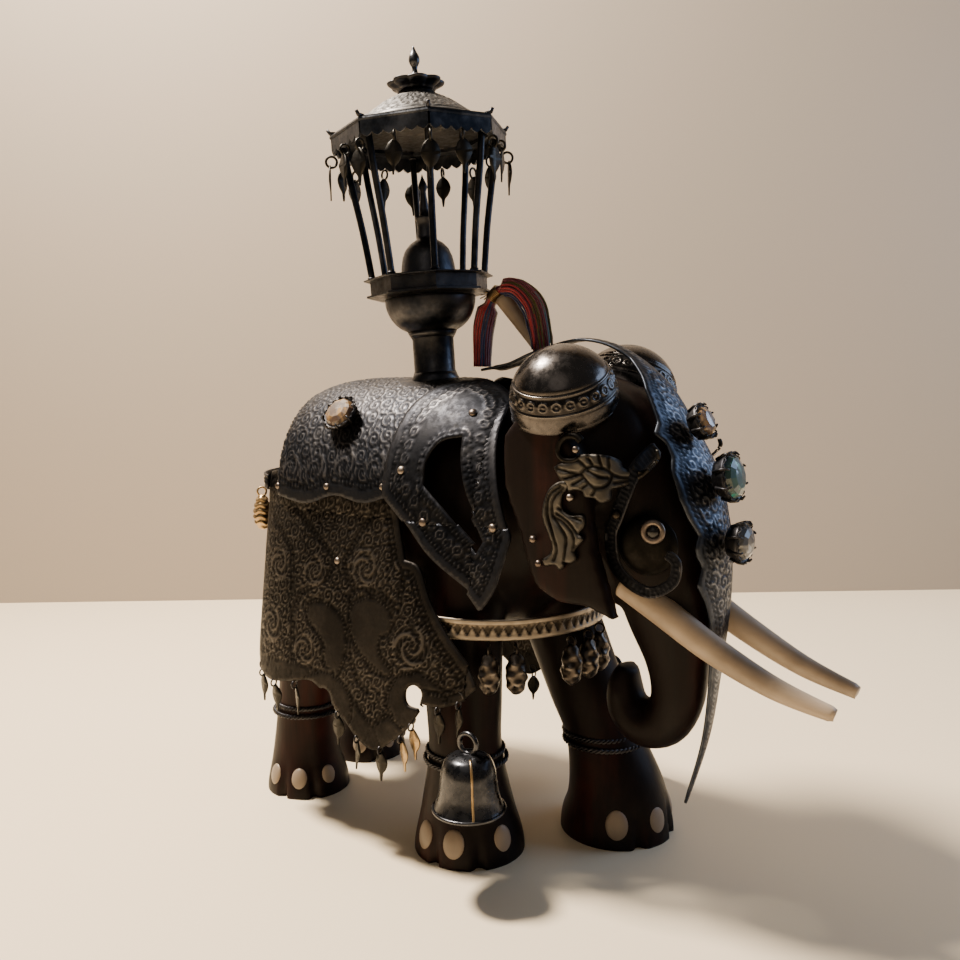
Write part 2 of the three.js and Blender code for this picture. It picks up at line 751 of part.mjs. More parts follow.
function bowl() {
  const base = STEM.height + GAP;
  const at = (t) => [BOWL.radius * Math.pow(Math.sin((t * Math.PI) / 2), 0.72), base + BOWL.height * (1 - Math.cos((t * Math.PI) / 2))];
  const outer = [0, 0.3, 0.5, 0.7, 0.85, 1].map(at);
  const inner = outer.map(([r, z]) => [Math.max(0, r - BOWL.wall), z + (r ? 0.5 : 1) * BOWL.wall]).reverse();
  inner[0][1] = outer[5][1];
  return turned([...outer, ...inner], 20);
}
piece("pavilion_bowl", bowl(), TARNISHED, shrine);

/** A prism with eight flat sides and a corner on the X axis, turned from its profile. */
const octagonal = (profile) => turned(profile, 8);

piece("pavilion_tray", octagonal([
  [0, TRAY.floor],
  [TRAY.radius - 1.6, TRAY.floor],
  [TRAY.radius - 1.2, TRAY.floor + TRAY.height - 0.8],
  [TRAY.radius + 1, TRAY.floor + TRAY.height - 0.4],
  [TRAY.radius + 1, TRAY.floor + TRAY.height],
  [TRAY.radius - 2.6, TRAY.floor + TRAY.height],
  [TRAY.radius - 2.8, TRAY.floor + TRAY.wall],
  [0, TRAY.floor + TRAY.wall],
]), TARNISHED, shrine);

const casketFoot = TRAY.floor + TRAY.wall + GAP;
piece("relic_casket", turned([
  [0, casketFoot],
  [11, casketFoot],
  [11, casketFoot + 2.4],
  [9.5, casketFoot + 3.4],
  [9.5, casketFoot + 7.6],
  [8.9, casketFoot + 14],
  [7, casketFoot + 18],
  [4, casketFoot + 20.6],
  [3.9, casketFoot + 22.4],
  [2.4, casketFoot + 24.5],
  [1.9, casketFoot + 28.4],
  [3.2, casketFoot + 29],
  [3.2, casketFoot + 29.8],
  [1.5, casketFoot + 30.6],
  [1.2, casketFoot + 35],
  [1.8, casketFoot + 36],
  [0.7, casketFoot + 37.4],
  [0, casketFoot + 41.5],
], 14), TARNISHED, shrine);

/** One bowed column, from the tray's rim to the eave. */
function column(angle) {
  const at = (radius, z) => [radius * Math.cos(angle), radius * Math.sin(angle), z];
  const [foot, head] = [TRAY.floor + TRAY.height + GAP, EAVE.z - 0.4];
  const line = new THREE.CatmullRomCurve3([
    new THREE.Vector3(...at(COLUMN.footRadius, foot)),
    new THREE.Vector3(...at(COLUMN.footRadius + 2.2, foot + (head - foot) * 0.35)),
    new THREE.Vector3(...at(COLUMN.headRadius - 1.6, foot + (head - foot) * 0.75)),
    new THREE.Vector3(...at(COLUMN.headRadius, head)),
  ]);
  const section = new THREE.Shape(Array.from({ length: 5 }, (_, i) => {
    const a = (i * Math.PI) / 2.5;
    return new THREE.Vector2(COLUMN.radius * Math.cos(a), COLUMN.radius * Math.sin(a));
  }));
  return new THREE.ExtrudeGeometry(section, { steps: 6, bevelEnabled: false, extrudePath: line });
}

/** The eave: an eight-sided ring with a valance of pointed scallops hanging from its rim. */
function eave() {
  const { radius, z, depth, wall, scallops } = EAVE;
  const ringShape = octagonal([
    [radius + 1, z - 0.6],
    [radius + 1, z + 0.6],
    [radius - 5.4, z + 0.6],
    [radius - 5.4, z - 0.6],
    [radius + 1, z - 0.6],
  ]);
  const valance = octagonal([
    [radius, z - depth],
    [radius, z],
    [radius - wall, z],
    [radius - wall, z - depth],
    [radius, z - depth],
  ]);
  const across = 2 * radius * Math.sin(Math.PI / 8);
  const pitch = across / scallops;
  const notches = [];
  for (let face = 0; face < 8; face++) {
    for (let i = 0; i < scallops; i++) {
      const offset = (i + 0.5) * pitch - across / 2;
      const notch = new THREE.CylinderGeometry(pitch * 0.36, pitch * 0.36, 6, 6).rotateZ(Math.PI / 2);
      notch.scale(1, 1, 0.75).translate(radius * Math.cos(Math.PI / 8), offset, z - depth);
      notches.push(notch.rotateZ(((face + 0.5) * Math.PI) / 4));
    }
  }
  return joined(ringShape, cut(valance, ...notches));
}

const columns = Array.from({ length: 8 }, (_, i) => column((i * Math.PI) / 4));
piece("canopy_frame", joined(eave(), ...columns), TARNISHED, shrine);

const roofFoot = EAVE.z + 0.6 + GAP;
piece("canopy_roof", joined(
  octagonal([[0, roofFoot], [EAVE.radius - 1, roofFoot], [EAVE.radius - 4, roofFoot + 1.6], [0, roofFoot + 2.4]]),
  turned([
    [0, roofFoot + 0.8],
    [22.6, roofFoot + 0.8],
    [21, roofFoot + 3],
    [18, roofFoot + 5.4],
    [13, roofFoot + 9.2],
    [8.4, roofFoot + 11.6],
    [6.7, roofFoot + 13.4],
    [0, roofFoot + ROOF_HEIGHT],
  ], 16),
), TARNISHED, shrine);

/** The eight-lobed flower on the roof's neck: a saucer whose rim waves. */
function crownFlower() {
  const foot = roofFoot + ROOF_HEIGHT + GAP;
  const saucer = turned([
    [0, foot],
    [5.6, foot],
    [7.2, foot + 1.4],
    [9.2, foot + FLOWER_HEIGHT],
    [9.2, foot + 3.6],
    [6, foot + FLOWER_HEIGHT],
    [0, foot + FLOWER_HEIGHT],
  ], 24);
  return reshape(saucer, (x, y, z) => {
    const [r, angle] = [Math.hypot(x, y), Math.atan2(y, x)];
    const lobe = 1 + 0.11 * smoothstep(r, 5, 9.2) * Math.cos(8 * angle);
    return new THREE.Vector3(x * lobe, y * lobe, z);
  });
}
piece("crown_flower", crownFlower(), TARNISHED, shrine);

const finialFoot = roofFoot + ROOF_HEIGHT + FLOWER_HEIGHT + GAP * 2;
piece("roof_finial", turned([
  [0, finialFoot],
  [3.4, finialFoot],
  [2.4, finialFoot + 1.8],
  [1.2, finialFoot + 3.8],
  [1, finialFoot + 5.4],
  [1.7, finialFoot + 7.4],
  [1.6, finialFoot + 9],
  [0.7, finialFoot + 10.8],
  [0, finialFoot + 13.2],
], 12), TARNISHED, shrine);

/** A bo leaf on its ring, hanging from z = 0, its face square to X. */
function boLeaf() {
  const { width, length, thick, wire } = LEAF;
  const top = -LEAF.ring * 2 + 0.2;
  const shape = new THREE.Shape();
  shape.moveTo(0.5, top + 0.6);
  shape.bezierCurveTo(width * 0.62, top - 1, width * 0.62, top - length * 0.55, 0.4, top - length);
  shape.lineTo(-0.4, top - length);
  shape.bezierCurveTo(-width * 0.62, top - length * 0.55, -width * 0.62, top - 1, -0.5, top + 0.6);
  return joined(prism(shape, -thick / 2, thick / 2), ring(LEAF.ring, wire, "y", 8, 4).translate(0, 0, -LEAF.ring));
}

for (let i = 0; i < 8; i++) {
  const angle = (i * Math.PI) / 4;
  const reach = EAVE.radius + 1;
  const drop = EAVE.z - EAVE.depth - GAP - LEAF.wire;
  const place = new THREE.Vector3(reach * Math.cos(angle), reach * Math.sin(angle), drop).applyMatrix4(shrine.matrixWorld);
  hung("canopy_leaf_" + (i + 1), boLeaf(), TARNISHED, place, angle);
}

// ---------------------------------------------------------------- plume
const PLUME_X = 12;
const PEG = [
  { at: [PLUME_X, -15.8, 149], across: 1.3, deep: 1.3 },
  { at: [PLUME_X, 0.2, 168.5], across: 2, deep: 2 },
  { at: [PLUME_X, 15.4, 187], across: 3.2, deep: 3.2 },
];
const TASSEL = [
  { at: [PLUME_X, 25, 163], across: 4.4, deep: 3 },
  { at: [PLUME_X, 24, 177], across: 5, deep: 3.6 },
  { at: [PLUME_X, 19.5, 187.5], across: 4.6, deep: 3.6 },
  { at: [PLUME_X, 10.5, 190], across: 5, deep: 3.8 },
  { at: [PLUME_X, 3, 184], across: 5.2, deep: 4.4 },
  { at: [PLUME_X, 0, 174], across: 5, deep: 4 },
  { at: [PLUME_X, -1, 166], across: 4.4, deep: 3 },
];
const peg = largest(clearOfBody(limb(PEG, 4, 8)));
piece("plume_peg", peg, BONE);
piece("silk_tassel", largest(cut(limb(TASSEL, 10, 8), limb(PEG, 4, 8, GAP))), SILK);

export default figure;
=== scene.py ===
import math

import bmesh
import bpy
import numpy as np
from mathutils import Matrix, Vector
from mathutils.kdtree import KDTree


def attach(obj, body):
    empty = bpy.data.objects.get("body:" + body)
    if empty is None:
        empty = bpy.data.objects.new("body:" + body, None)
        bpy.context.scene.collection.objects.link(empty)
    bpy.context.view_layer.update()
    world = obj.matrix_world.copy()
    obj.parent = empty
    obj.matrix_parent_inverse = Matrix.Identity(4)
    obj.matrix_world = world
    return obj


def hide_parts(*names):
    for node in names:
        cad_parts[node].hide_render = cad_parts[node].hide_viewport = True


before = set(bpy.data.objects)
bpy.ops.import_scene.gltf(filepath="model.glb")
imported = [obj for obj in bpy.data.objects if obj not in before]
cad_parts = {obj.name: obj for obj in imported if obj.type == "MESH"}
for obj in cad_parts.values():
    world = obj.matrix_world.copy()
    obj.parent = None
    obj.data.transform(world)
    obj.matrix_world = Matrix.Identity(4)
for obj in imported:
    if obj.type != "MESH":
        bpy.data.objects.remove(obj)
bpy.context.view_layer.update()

bl_info = {
    "name": "Dressed Elephant with Shrine",
    "version": (1, 0, 0),
    "blender": (4, 5, 0),
    "location": "3D View > Sidebar > Elephant",
    "description": "Builds a carved wooden elephant in chased metal dress around its packed frame",
    "category": "Object",
}

MM = 0.001
SIDES = (("right", -1), ("left", 1))
CARVING = "figure"  # the body that everything without a joint of its own rides on


# ------------------------------------------------------------------ sizes and colours the user may change
class ElephantSizes(bpy.types.PropertyGroup):
    """Sizes of the surface work"""

    wood_voxel: bpy.props.FloatProperty(
        name="Carving detail", description="Voxel size of the remeshed carving",
        default=1.5 * MM, unit="LENGTH",
    )
    sheet_step: bpy.props.FloatProperty(
        name="Chasing detail", description="Grid step of the chased sheets", default=1.3 * MM, unit="LENGTH"
    )
    relief: bpy.props.FloatProperty(
        name="Chasing depth", description="Height of the chased relief", default=0.5 * MM, unit="LENGTH"
    )
    sheet: bpy.props.FloatProperty(
        name="Sheet thickness", description="Thickness of the sheet metal", default=0.8 * MM, unit="LENGTH"
    )


def colour_property(name, description, default):
    return bpy.props.FloatVectorProperty(
        name=name, description=description, default=default, subtype="COLOR", size=3, min=0, max=1
    )


class ElephantColours(bpy.types.PropertyGroup):
    """Colours of the finishes"""

    tarnish: colour_property("Tarnish", "Dark sulphide film on the sheet metal", (0.018, 0.020, 0.026))
    bare: colour_property("Bare metal", "Metal where it is rubbed bare", (0.20, 0.19, 0.19))
    wood: colour_property("Wood", "Dark heartwood", (0.0050, 0.0022, 0.0018))
    wood_red: colour_property("Red wood", "Rubbed red heartwood", (0.030, 0.007, 0.0045))
    bone: colour_property("Bone", "Aged bone", (0.50, 0.40, 0.30))


# ------------------------------------------------------------------ placing and finishing pieces
def settle(bm, name, material, body=CARVING, replaces=()):
    """Makes an object from a bmesh in millimetres, gives it its material and puts it on its body."""
    bmesh.ops.scale(bm, vec=(MM, MM, MM), verts=bm.verts)
    mesh = bpy.data.meshes.new(name)
    bm.to_mesh(mesh)
    bm.free()
    mesh.shade_smooth()
    piece = bpy.data.objects.new(name, mesh)
    bpy.context.scene.collection.objects.link(piece)
    mesh.materials.append(material)
    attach(piece, body)
    if replaces:
        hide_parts(*replaces)
    return piece


def outward(bm):
    """Merges doubles and points every face of a closed shape outwards."""
    bmesh.ops.remove_doubles(bm, verts=bm.verts, dist=1e-4)
    bmesh.ops.recalc_face_normals(bm, faces=bm.faces)
    return bm


def chain(bm, points, closed=False):
    """Vertices joined in a row by edges."""
    verts = [bm.verts.new(p) for p in points]
    edges = [bm.edges.new(pair) for pair in zip(verts, verts[1:])]
    if closed:
        edges.append(bm.edges.new((verts[-1], verts[0])))
    return verts, edges


def turned(profile, steps=48):
    """A shape spun about Z from its (radius, height) profile; the ends lie on the axis or meet."""
    bm = bmesh.new()
    verts, edges = chain(bm, [(r, 0, z) for r, z in profile])
    bmesh.ops.spin(
        bm, geom=verts + edges, cent=(0, 0, 0), axis=(0, 0, 1), angle=2 * math.pi, steps=steps, use_merge=True
    )
    return outward(bm)


def curve_point(p0, p1, p2, p3, t):
    """The point at share t between p1 and p2, on the smooth curve through all four."""
    return 0.5 * (
        2 * p1
        + (p2 - p0) * t
        + (2 * p0 - 5 * p1 + 4 * p2 - p3) * t**2
        + (3 * p1 - p0 - 3 * p2 + p3) * t**3
    )


def rounded(profile, cuts=4):
    """The profile with a smooth curve run through its points."""
    points = np.array(profile, float)
    out = []
    for i in range(len(points) - 1):
        p0, p1, p2, p3 = (points[min(max(k, 0), len(points) - 1)] for k in (i - 1, i, i + 1, i + 2))
        out += [curve_point(p0, p1, p2, p3, j / cuts) for j in range(cuts)]
    out.append(points[-1])
    return np.array(out)


def moved(bm, matrix):
    bmesh.ops.transform(bm, matrix=matrix, verts=bm.verts)
    return bm


def added(bm, other):
    """Puts another bmesh's geometry into this one."""
    mesh = bpy.data.meshes.new("part")
    other.to_mesh(mesh)
    other.free()
    bm.from_mesh(mesh)
    bpy.data.meshes.remove(mesh)
    return bm


def together(parts):
    bm = bmesh.new()
    for part in parts:
        added(bm, part)
    return bm


def wire(points, radius, sides=8, closed=False, taper=None, squeeze=None):
    """Round wire along points. taper(t) scales its radius; squeeze = (direction, share) flattens it."""
    points = [Vector(p) for p in points]
    count = len(points)
    bm = bmesh.new()
    rings = []
    side = None
    for i, point in enumerate(points):
        before = points[i - 1] if (i or closed) else point
        after = points[(i + 1) % count] if (i < count - 1 or closed) else point
        along = (after - before).normalized()
        if side is None:
            side = along.orthogonal().normalized()
        side = (side - along * side.dot(along)).normalized()
        up = along.cross(side)
        size = radius * (taper(i / (count - 1)) if taper else 1)
        ring = []
        for k in range(sides):
            angle = 2 * math.pi * k / sides
            offset = (side * math.cos(angle) + up * math.sin(angle)) * size
            if squeeze:
                offset -= squeeze[0] * offset.dot(squeeze[0]) * (1 - squeeze[1])
            ring.append(bm.verts.new(point + offset))
        edges = [bm.edges.new((ring[k], ring[(k + 1) % sides])) for k in range(sides)]
        rings.append((ring, edges))
    spans = list(zip(rings, rings[1:])) + ([(rings[-1], rings[0])] if closed else [])
    for (_, one), (_, other) in spans:
        bmesh.ops.bridge_loops(bm, edges=one + other)
    if not closed:
        bmesh.ops.holes_fill(bm, edges=bm.edges, sides=sides)
    bmesh.ops.recalc_face_normals(bm, faces=bm.faces)
    return bm


def circle_points(radius, count, normal="z", centre=(0, 0, 0)):
    out = []
    for i in range(count):
        a, b = (radius * f(2 * math.pi * i / count) for f in (math.cos, math.sin))
        spot = {"x": (0, a, b), "y": (a, 0, b), "z": (a, b, 0)}[normal]
        out.append(Vector(spot) + Vector(centre))
    return out


def around(r, a, z=0.0):
    """The point at radius r, angle a and height z."""
    return Vector((r * math.cos(a), r * math.sin(a), z))


def dome(radius, height, segments=12):
    """A rivet head or bead half, its foot at z = 0."""
    profile = [(radius * math.cos(a), height * math.sin(a)) for a in np.linspace(0, math.pi / 2, 5)]
    profile[-1] = (0, height)
    return turned([(0, -0.4), (radius, -0.4)] + profile, segments)


def facing(place, direction):
    """The transform that puts a shape made along +Z at a place, facing a direction."""
    return Matrix.Translation(Vector(place)) @ Vector((0, 0, 1)).rotation_difference(
        Vector(direction)
    ).to_matrix().to_4x4()


def smoothstep(x, low, high):
    t = np.clip((x - low) / (high - low), 0, 1)
    return t * t * (3 - 2 * t)


# ------------------------------------------------------------------ the dress's surface
TORSO_Y, TORSO_Z = 43.0, 113.0
TORSO_LENGTH, TORSO_WIDTH, TORSO_HEIGHT = 63.0, 33.0, 42.0
CLOTH_LIFT, SADDLE_LIFT, FRAME_LIFT = 1.6, 3.2, 4.8
FRONT_SHARE, FLARE = 0.87, 0.16
QUARTER = 58.0  # millimetres from the ridge down to the widest height


def torso_share(y, lift=0.0):
    t = np.minimum(1, np.abs(y - TORSO_Y) / (TORSO_LENGTH + lift))
    return (1 - t**4) ** (1 / 2.2)


def dress_share(y):
    share = torso_share(y, CLOTH_LIFT)
    return np.where(y < TORSO_Y, np.maximum(share, FRONT_SHARE), share)


def dress_point(sign, y, down):
    """Points of the dress at y, down millimetres from the ridge, on one side."""
    y, down = np.broadcast_arrays(np.asarray(y, float), np.asarray(down, float))
    share = dress_share(y)
    angle = np.clip(np.abs(down) / QUARTER, 0, 1) * math.pi / 2
    drop = np.maximum(np.abs(down) - QUARTER, 0)
    x = TORSO_WIDTH * share * np.sin(angle) + drop * FLARE * np.minimum(1, share * 1.2)
    z = TORSO_Z + TORSO_HEIGHT * share * np.cos(angle) - drop
    return np.stack([sign * x, y, z], -1)


def down_at(y, z):
    """How far down from the ridge the height z lies at y."""
    high = TORSO_HEIGHT * float(dress_share(np.array(float(y))))
    if z >= TORSO_Z:
        return QUARTER * math.acos(min(1, (z - TORSO_Z) / high)) / (math.pi / 2)
    return QUARTER + TORSO_Z - z


def dress_surface(sign, lift):
    """A function from (y, down) to points and outward normals, lifted off the carving."""

    def surface(a, b):
        d = 0.05
        side = np.where(np.asarray(b) < 0, -1, 1) * sign
        point = dress_point(side, a, b)
        along = dress_point(side, a + d, b) - dress_point(side, a - d, b)
        fall = dress_point(side, a, np.abs(b) + d) - dress_point(side, a, np.maximum(np.abs(b) - d, 0))
        normal = -np.cross(along, fall) * np.asarray(side)[..., None]
        normal /= np.maximum(np.linalg.norm(normal, axis=-1, keepdims=True), 1e-9)
        return point + normal * lift, normal

    return surface


def on_dress(sign, lift, y, z):
    """A point of the lifted dress at (y, z), and its normal."""
    point, normal = dress_surface(sign, lift)(np.array([float(y)]), np.array([down_at(y, z)]))
    return Vector(point[0]), Vector(normal[0])


# ------------------------------------------------------------------ chased sheets
def smooth_loop(points, step=0.9, corner=50):
    """A closed outline through points, curved except where it turns sharply."""
    points = np.array(points, float)
    n = len(points)
    sharp = []
    for i in range(n):
        a, b = points[i] - points[i - 1], points[(i + 1) % n] - points[i]
        turn = math.degrees(math.acos(np.clip(a @ b / (np.linalg.norm(a) * np.linalg.norm(b)), -1, 1)))
        sharp.append(turn > corner)
    out = []
    for i in range(n):
        p1, p2 = points[i], points[(i + 1) % n]
        p0 = 2 * p1 - p2 if sharp[i] else points[i - 1]
        p3 = 2 * p2 - p1 if sharp[(i + 1) % n] else points[(i + 2) % n]
        count = max(2, int(np.linalg.norm(p2 - p1) / step))
        out += [curve_point(p0, p1, p2, p3, t) for t in np.arange(count) / count]
    return np.array(out)


def line_points(points, step=0.5, closed=False):
    """Evenly spaced points along a line, with how far along each lies."""
    points = np.array(points, float)
    if closed:
        points = np.vstack([points, points[:1]])
    lengths = np.linalg.norm(np.diff(points, axis=0), axis=1)
    total = np.concatenate([[0], np.cumsum(lengths)])
    at = np.arange(0, total[-1], step)
    return np.stack([np.interp(at, total, points[:, k]) for k in range(2)], -1), at


def search_tree(points):
    """A tree that finds the nearest of these flat points."""
    tree = KDTree(len(points))
    for i, (a, b) in enumerate(points):
        tree.insert((a, b, 0), i)
    tree.balance()
    return tree


class Lines:
    """Distance to a set of lines, and how far along the nearest one."""

    def __init__(self, lines, closed=False):
        spots, alongs = zip(*(line_points(line, closed=closed) for line in lines))
        self.spots, self.alongs = np.vstack(spots), np.concatenate(alongs)
        self.tree = search_tree(self.spots)

    def read(self, points):
        found = [self.tree.find((a, b, 0)) for a, b in points]
        return np.array([f[2] for f in found]), np.array([self.alongs[f[1]] for f in found])


def ridge(distance, width):
    return np.clip(1 - (distance / width) ** 2, 0, 1)


def rope(distance, along, width=0.85, pitch=1.9):
    """A twisted rope line: slanting hatches between two fine edges."""
    core = ridge(distance, width) * (0.45 + 0.55 * np.cos(2 * math.pi * along / pitch))
    return np.maximum(core, 0.7 * ridge(distance - width - 0.45, 0.3))


def scrollwork(points, pitch=1.55, spacing=6.4):
    """Packed curling scrolls, each a spiral that breaks into leaf tips where it meets the next."""
    points = np.asarray(points)
    low, high = points.min(0) - spacing, points.max(0) + spacing
    rows = int((high[1] - low[1]) / (spacing * 0.866)) + 1
    columns = int((high[0] - low[0]) / spacing) + 1
    centres, phases = [], []
    for j in range(rows):
        for i in range(columns):
            wobble = 0.9 * np.array([math.sin(3.1 * i + 1.7 * j), math.cos(2.3 * i - 1.3 * j)])
            centres.append(low + [(i + 0.5 * (j % 2)) * spacing, j * spacing * 0.866] + wobble)
            phases.append((1 if (i + j) % 2 else -1, 2.4 * i + 1.1 * j))
    centres, phases = np.array(centres), np.array(phases)
    tree = search_tree(centres)
    near = np.array([tree.find((a, b, 0))[1] for a, b in points])
    offset = points - centres[near]
    radius, angle = np.hypot(offset[:, 0], offset[:, 1]), np.arctan2(offset[:, 1], offset[:, 0])
    turn, phase = phases[near, 0], phases[near, 1]
    curl = 0.5 + 0.5 * np.cos(2 * math.pi * radius / pitch - turn * (angle + phase))
    leaves = 0.5 + 0.5 * np.cos(9 * (angle + turn * radius * 0.35))
    edge = smoothstep(radius, spacing * 0.40, spacing * 0.52)
    return (curl * (1 - edge) + leaves * edge) ** 0.8


def inside(loop, points):
    """Which points lie inside a closed loop."""
    loop = np.asarray(loop)
    after = np.roll(loop, -1, axis=0)
    a, b = points[:, 0][:, None], points[:, 1][:, None]
    crosses = (loop[:, 1] > b) != (after[:, 1] > b)
    rise = np.where(after[:, 1] == loop[:, 1], 1e-9, after[:, 1] - loop[:, 1])
    at = (after[:, 0] - loop[:, 0]) * (b - loop[:, 1]) / rise + loop[:, 0]
    return (crosses & (a < at)).sum(1) % 2 == 1


def fill_outline(loops, step):
    """A flat grid trimmed to lie inside the first loop and outside the others, its edge drawn onto them."""
    low, high = np.min(loops[0], axis=0), np.max(loops[0], axis=0)
    counts = np.ceil((high - low) / step).astype(int) + 1
    bm = bmesh.new()
    bmesh.ops.create_grid(bm, x_segments=int(counts[0]), y_segments=int(counts[1]), size=1)
    middle, half = (low + high) / 2, counts * step / 2
    moved(bm, Matrix.Translation((middle[0], middle[1], 0)) @ Matrix.Diagonal((half[0], half[1], 1, 1)))
    points = np.array([v.co[:2] for v in bm.verts])
    kept = inside(loops[0], points)
    for loop in loops[1:]:
        kept &= ~inside(loop, points)
    bmesh.ops.delete(bm, geom=[v for v, keep in zip(bm.verts, kept) if not keep], context="VERTS")
    bmesh.ops.delete(bm, geom=[v for v in bm.verts if not v.link_faces], context="VERTS")
    rim = np.vstack([line_points(loop, 0.15, True)[0] for loop in loops])
    tree = search_tree(rim)
    for vert in bm.verts:
        if vert.is_boundary:
            spot, _, distance = tree.find(vert.co)
            if distance < step * 1.6:
                vert.co = spot
    bmesh.ops.remove_doubles(bm, verts=bm.verts, dist=0.04)
    return bm


def chased_sheet(loops, surface, relief, sizes, step=None):
    """A sheet bent onto surface(a, b), with relief(points) raised on it from 0 to 1."""
    bm = fill_outline(loops, step or sizes.sheet_step / MM / 2)
    flat = np.array([v.co[:2] for v in bm.verts])
    height = np.clip(relief(flat), 0, 1)
    place, normal = surface(flat[:, 0], flat[:, 1])
    final = place + normal * (height * sizes.relief / MM)[:, None]
    chase = bm.verts.layers.float.new("chase")
    out = bm.verts.layers.float_vector.new("out")
    for vert, co, h, n in zip(bm.verts, final, height, normal):
        vert.co = co
        vert[chase] = h
        vert[out] = n
    made = bmesh.ops.extrude_face_region(bm, geom=bm.faces[:])
    for vert in made["geom"]:
        if isinstance(vert, bmesh.types.BMVert):
            vert.co -= vert[out] * (sizes.sheet / MM)
    bm.verts.layers.float_vector.remove(out)
    bmesh.ops.recalc_face_normals(bm, faces=bm.faces)
    return bm


# ------------------------------------------------------------------ node groups and materials
def new_group(name, inputs, outputs):
    group = bpy.data.node_groups.new(name, "ShaderNodeTree")
    for label, default in inputs:
        socket = group.interface.new_socket(label, in_out="INPUT", socket_type="NodeSocketFloat")
        socket.default_value = default
    for label, kind in outputs:
        group.interface.new_socket(label, in_out="OUTPUT", socket_type=kind)
    return group, group.nodes.new("NodeGroupInput"), group.nodes.new("NodeGroupOutput")


def add(tree, kind, **values):
    """A node with its settings and its input values; an input's value may be another node's output."""
    made = tree.nodes.new(kind)
    for key, value in values.items():
        label = key.replace("_", " ")
        if label in made.inputs:
            if isinstance(value, bpy.types.NodeSocket):
                tree.links.new(value, made.inputs[label])
            else:
                made.inputs[label].default_value = value
        else:
            setattr(made, key, value)
    return made


def math_node(tree, operation, one, other=0.5, clamp=False):
    made = tree.nodes.new("ShaderNodeMath")
    made.operation = operation
    made.use_clamp = clamp
    for socket, value in zip(made.inputs, (one, other)):
        if isinstance(value, bpy.types.NodeSocket):
            tree.links.new(value, socket)
        else:
            socket.default_value = value
    return made.outputs[0]


def stretch(tree, value, low, high):
    """A value's part between low and high, stretched to run from 0 to 1."""
    made = tree.nodes.new("ShaderNodeMapRange")
    made.interpolation_type = "SMOOTHSTEP"
    tree.links.new(value, made.inputs["Value"])
    made.inputs["From Min"].default_value = low
    made.inputs["From Max"].default_value = high
    return made.outputs["Result"]


def blend_colours(tree, factor, one, other, mode="MIX"):
    made = tree.nodes.new("ShaderNodeMix")
    made.data_type = "RGBA"
    made.blend_type = mode
    sockets = (made.inputs[0], made.inputs[6], made.inputs[7])
    for socket, value in zip(sockets, (factor, one, other)):
        if isinstance(value, bpy.types.NodeSocket):
            tree.links.new(value, socket)
        elif isinstance(value, (int, float)):
            socket.default_value = value
        else:
            socket.default_value = (*value, 1)
    return made.outputs[2]


def clouds_group():
    """Broad and fine mottling, as a film that forms unevenly has."""
    group, given, out = new_group(
        "Clouds", [("Scale", 40.0)], [("Broad", "NodeSocketFloat"), ("Fine", "NodeSocketFloat")]
    )
    place = group.nodes.new("ShaderNodeTexCoord").outputs["Object"]
    broad = add(group, "ShaderNodeTexNoise", Vector=place, Scale=given.outputs[0], Detail=4.0, Roughness=0.6)
    finer = math_node(group, "MULTIPLY", given.outputs[0], 9.0)
    fine = add(group, "ShaderNodeTexNoise", Vector=place, Scale=finer, Detail=3.0, Roughness=0.7)
    group.links.new(stretch(group, broad.outputs["Fac"], 0.35, 0.68), out.inputs["Broad"])
    group.links.new(stretch(group, fine.outputs["Fac"], 0.3, 0.7), out.inputs["Fine"])
    return group


def chasing_group():
    """Where chased relief is deep and where it is rubbed, from the piece's own relief attribute."""
    group, _, out = new_group("Chasing", [], [("Deep", "NodeSocketFloat"), ("Rubbed", "NodeSocketFloat")])
    chase = add(group, "ShaderNodeAttribute", attribute_name="chase").outputs["Fac"]
    deep = math_node(group, "SUBTRACT", 1.0, stretch(group, chase, 0.0, 0.55))
    group.links.new(deep, out.inputs["Deep"])
    group.links.new(stretch(group, chase, 0.55, 1.0), out.inputs["Rubbed"])
    return group


def scratches_group():
    """Fine handling scratches as a height, with a little dust in broad scattered spots as a mask."""
    group, given, out = new_group(
        "Handling", [("Scale", 900.0)], [("Height", "NodeSocketFloat"), ("Dust", "NodeSocketFloat")]
    )
    place = group.nodes.new("ShaderNodeTexCoord").outputs["Object"]
    long = add(group, "ShaderNodeMapping", Vector=place, Scale=(1.0, 0.12, 0.35), Rotation=(0.4, 0.9, 0.3))
    lines = add(group, "ShaderNodeTexNoise", Vector=long.outputs[0], Scale=given.outputs[0], Detail=2.0)
    grain = add(group, "ShaderNodeTexNoise", Vector=place, Scale=420.0, Detail=4.0)
    spots = add(group, "ShaderNodeTexNoise", Vector=place, Scale=70.0, Detail=6.0, Roughness=0.75)
    height = math_node(group, "ADD", lines.outputs["Fac"], grain.outputs["Fac"])
    group.links.new(height, out.inputs["Height"])
    group.links.new(stretch(group, spots.outputs["Fac"], 0.52, 0.78), out.inputs["Dust"])
    return group


def material(name, **values):
    made = bpy.data.materials.new(name)
    made.use_nodes = True
    shader = made.node_tree.nodes["Principled BSDF"]
    for key, value in values.items():
        shader.inputs[key.replace("_", " ")].default_value = value
    return made, made.node_tree, shader


def group_node(tree, name, **values):
    made = tree.nodes.new("ShaderNodeGroup")
    made.node_tree = bpy.data.node_groups[name]
    for key, value in values.items():
        made.inputs[key].default_value = value
    return made


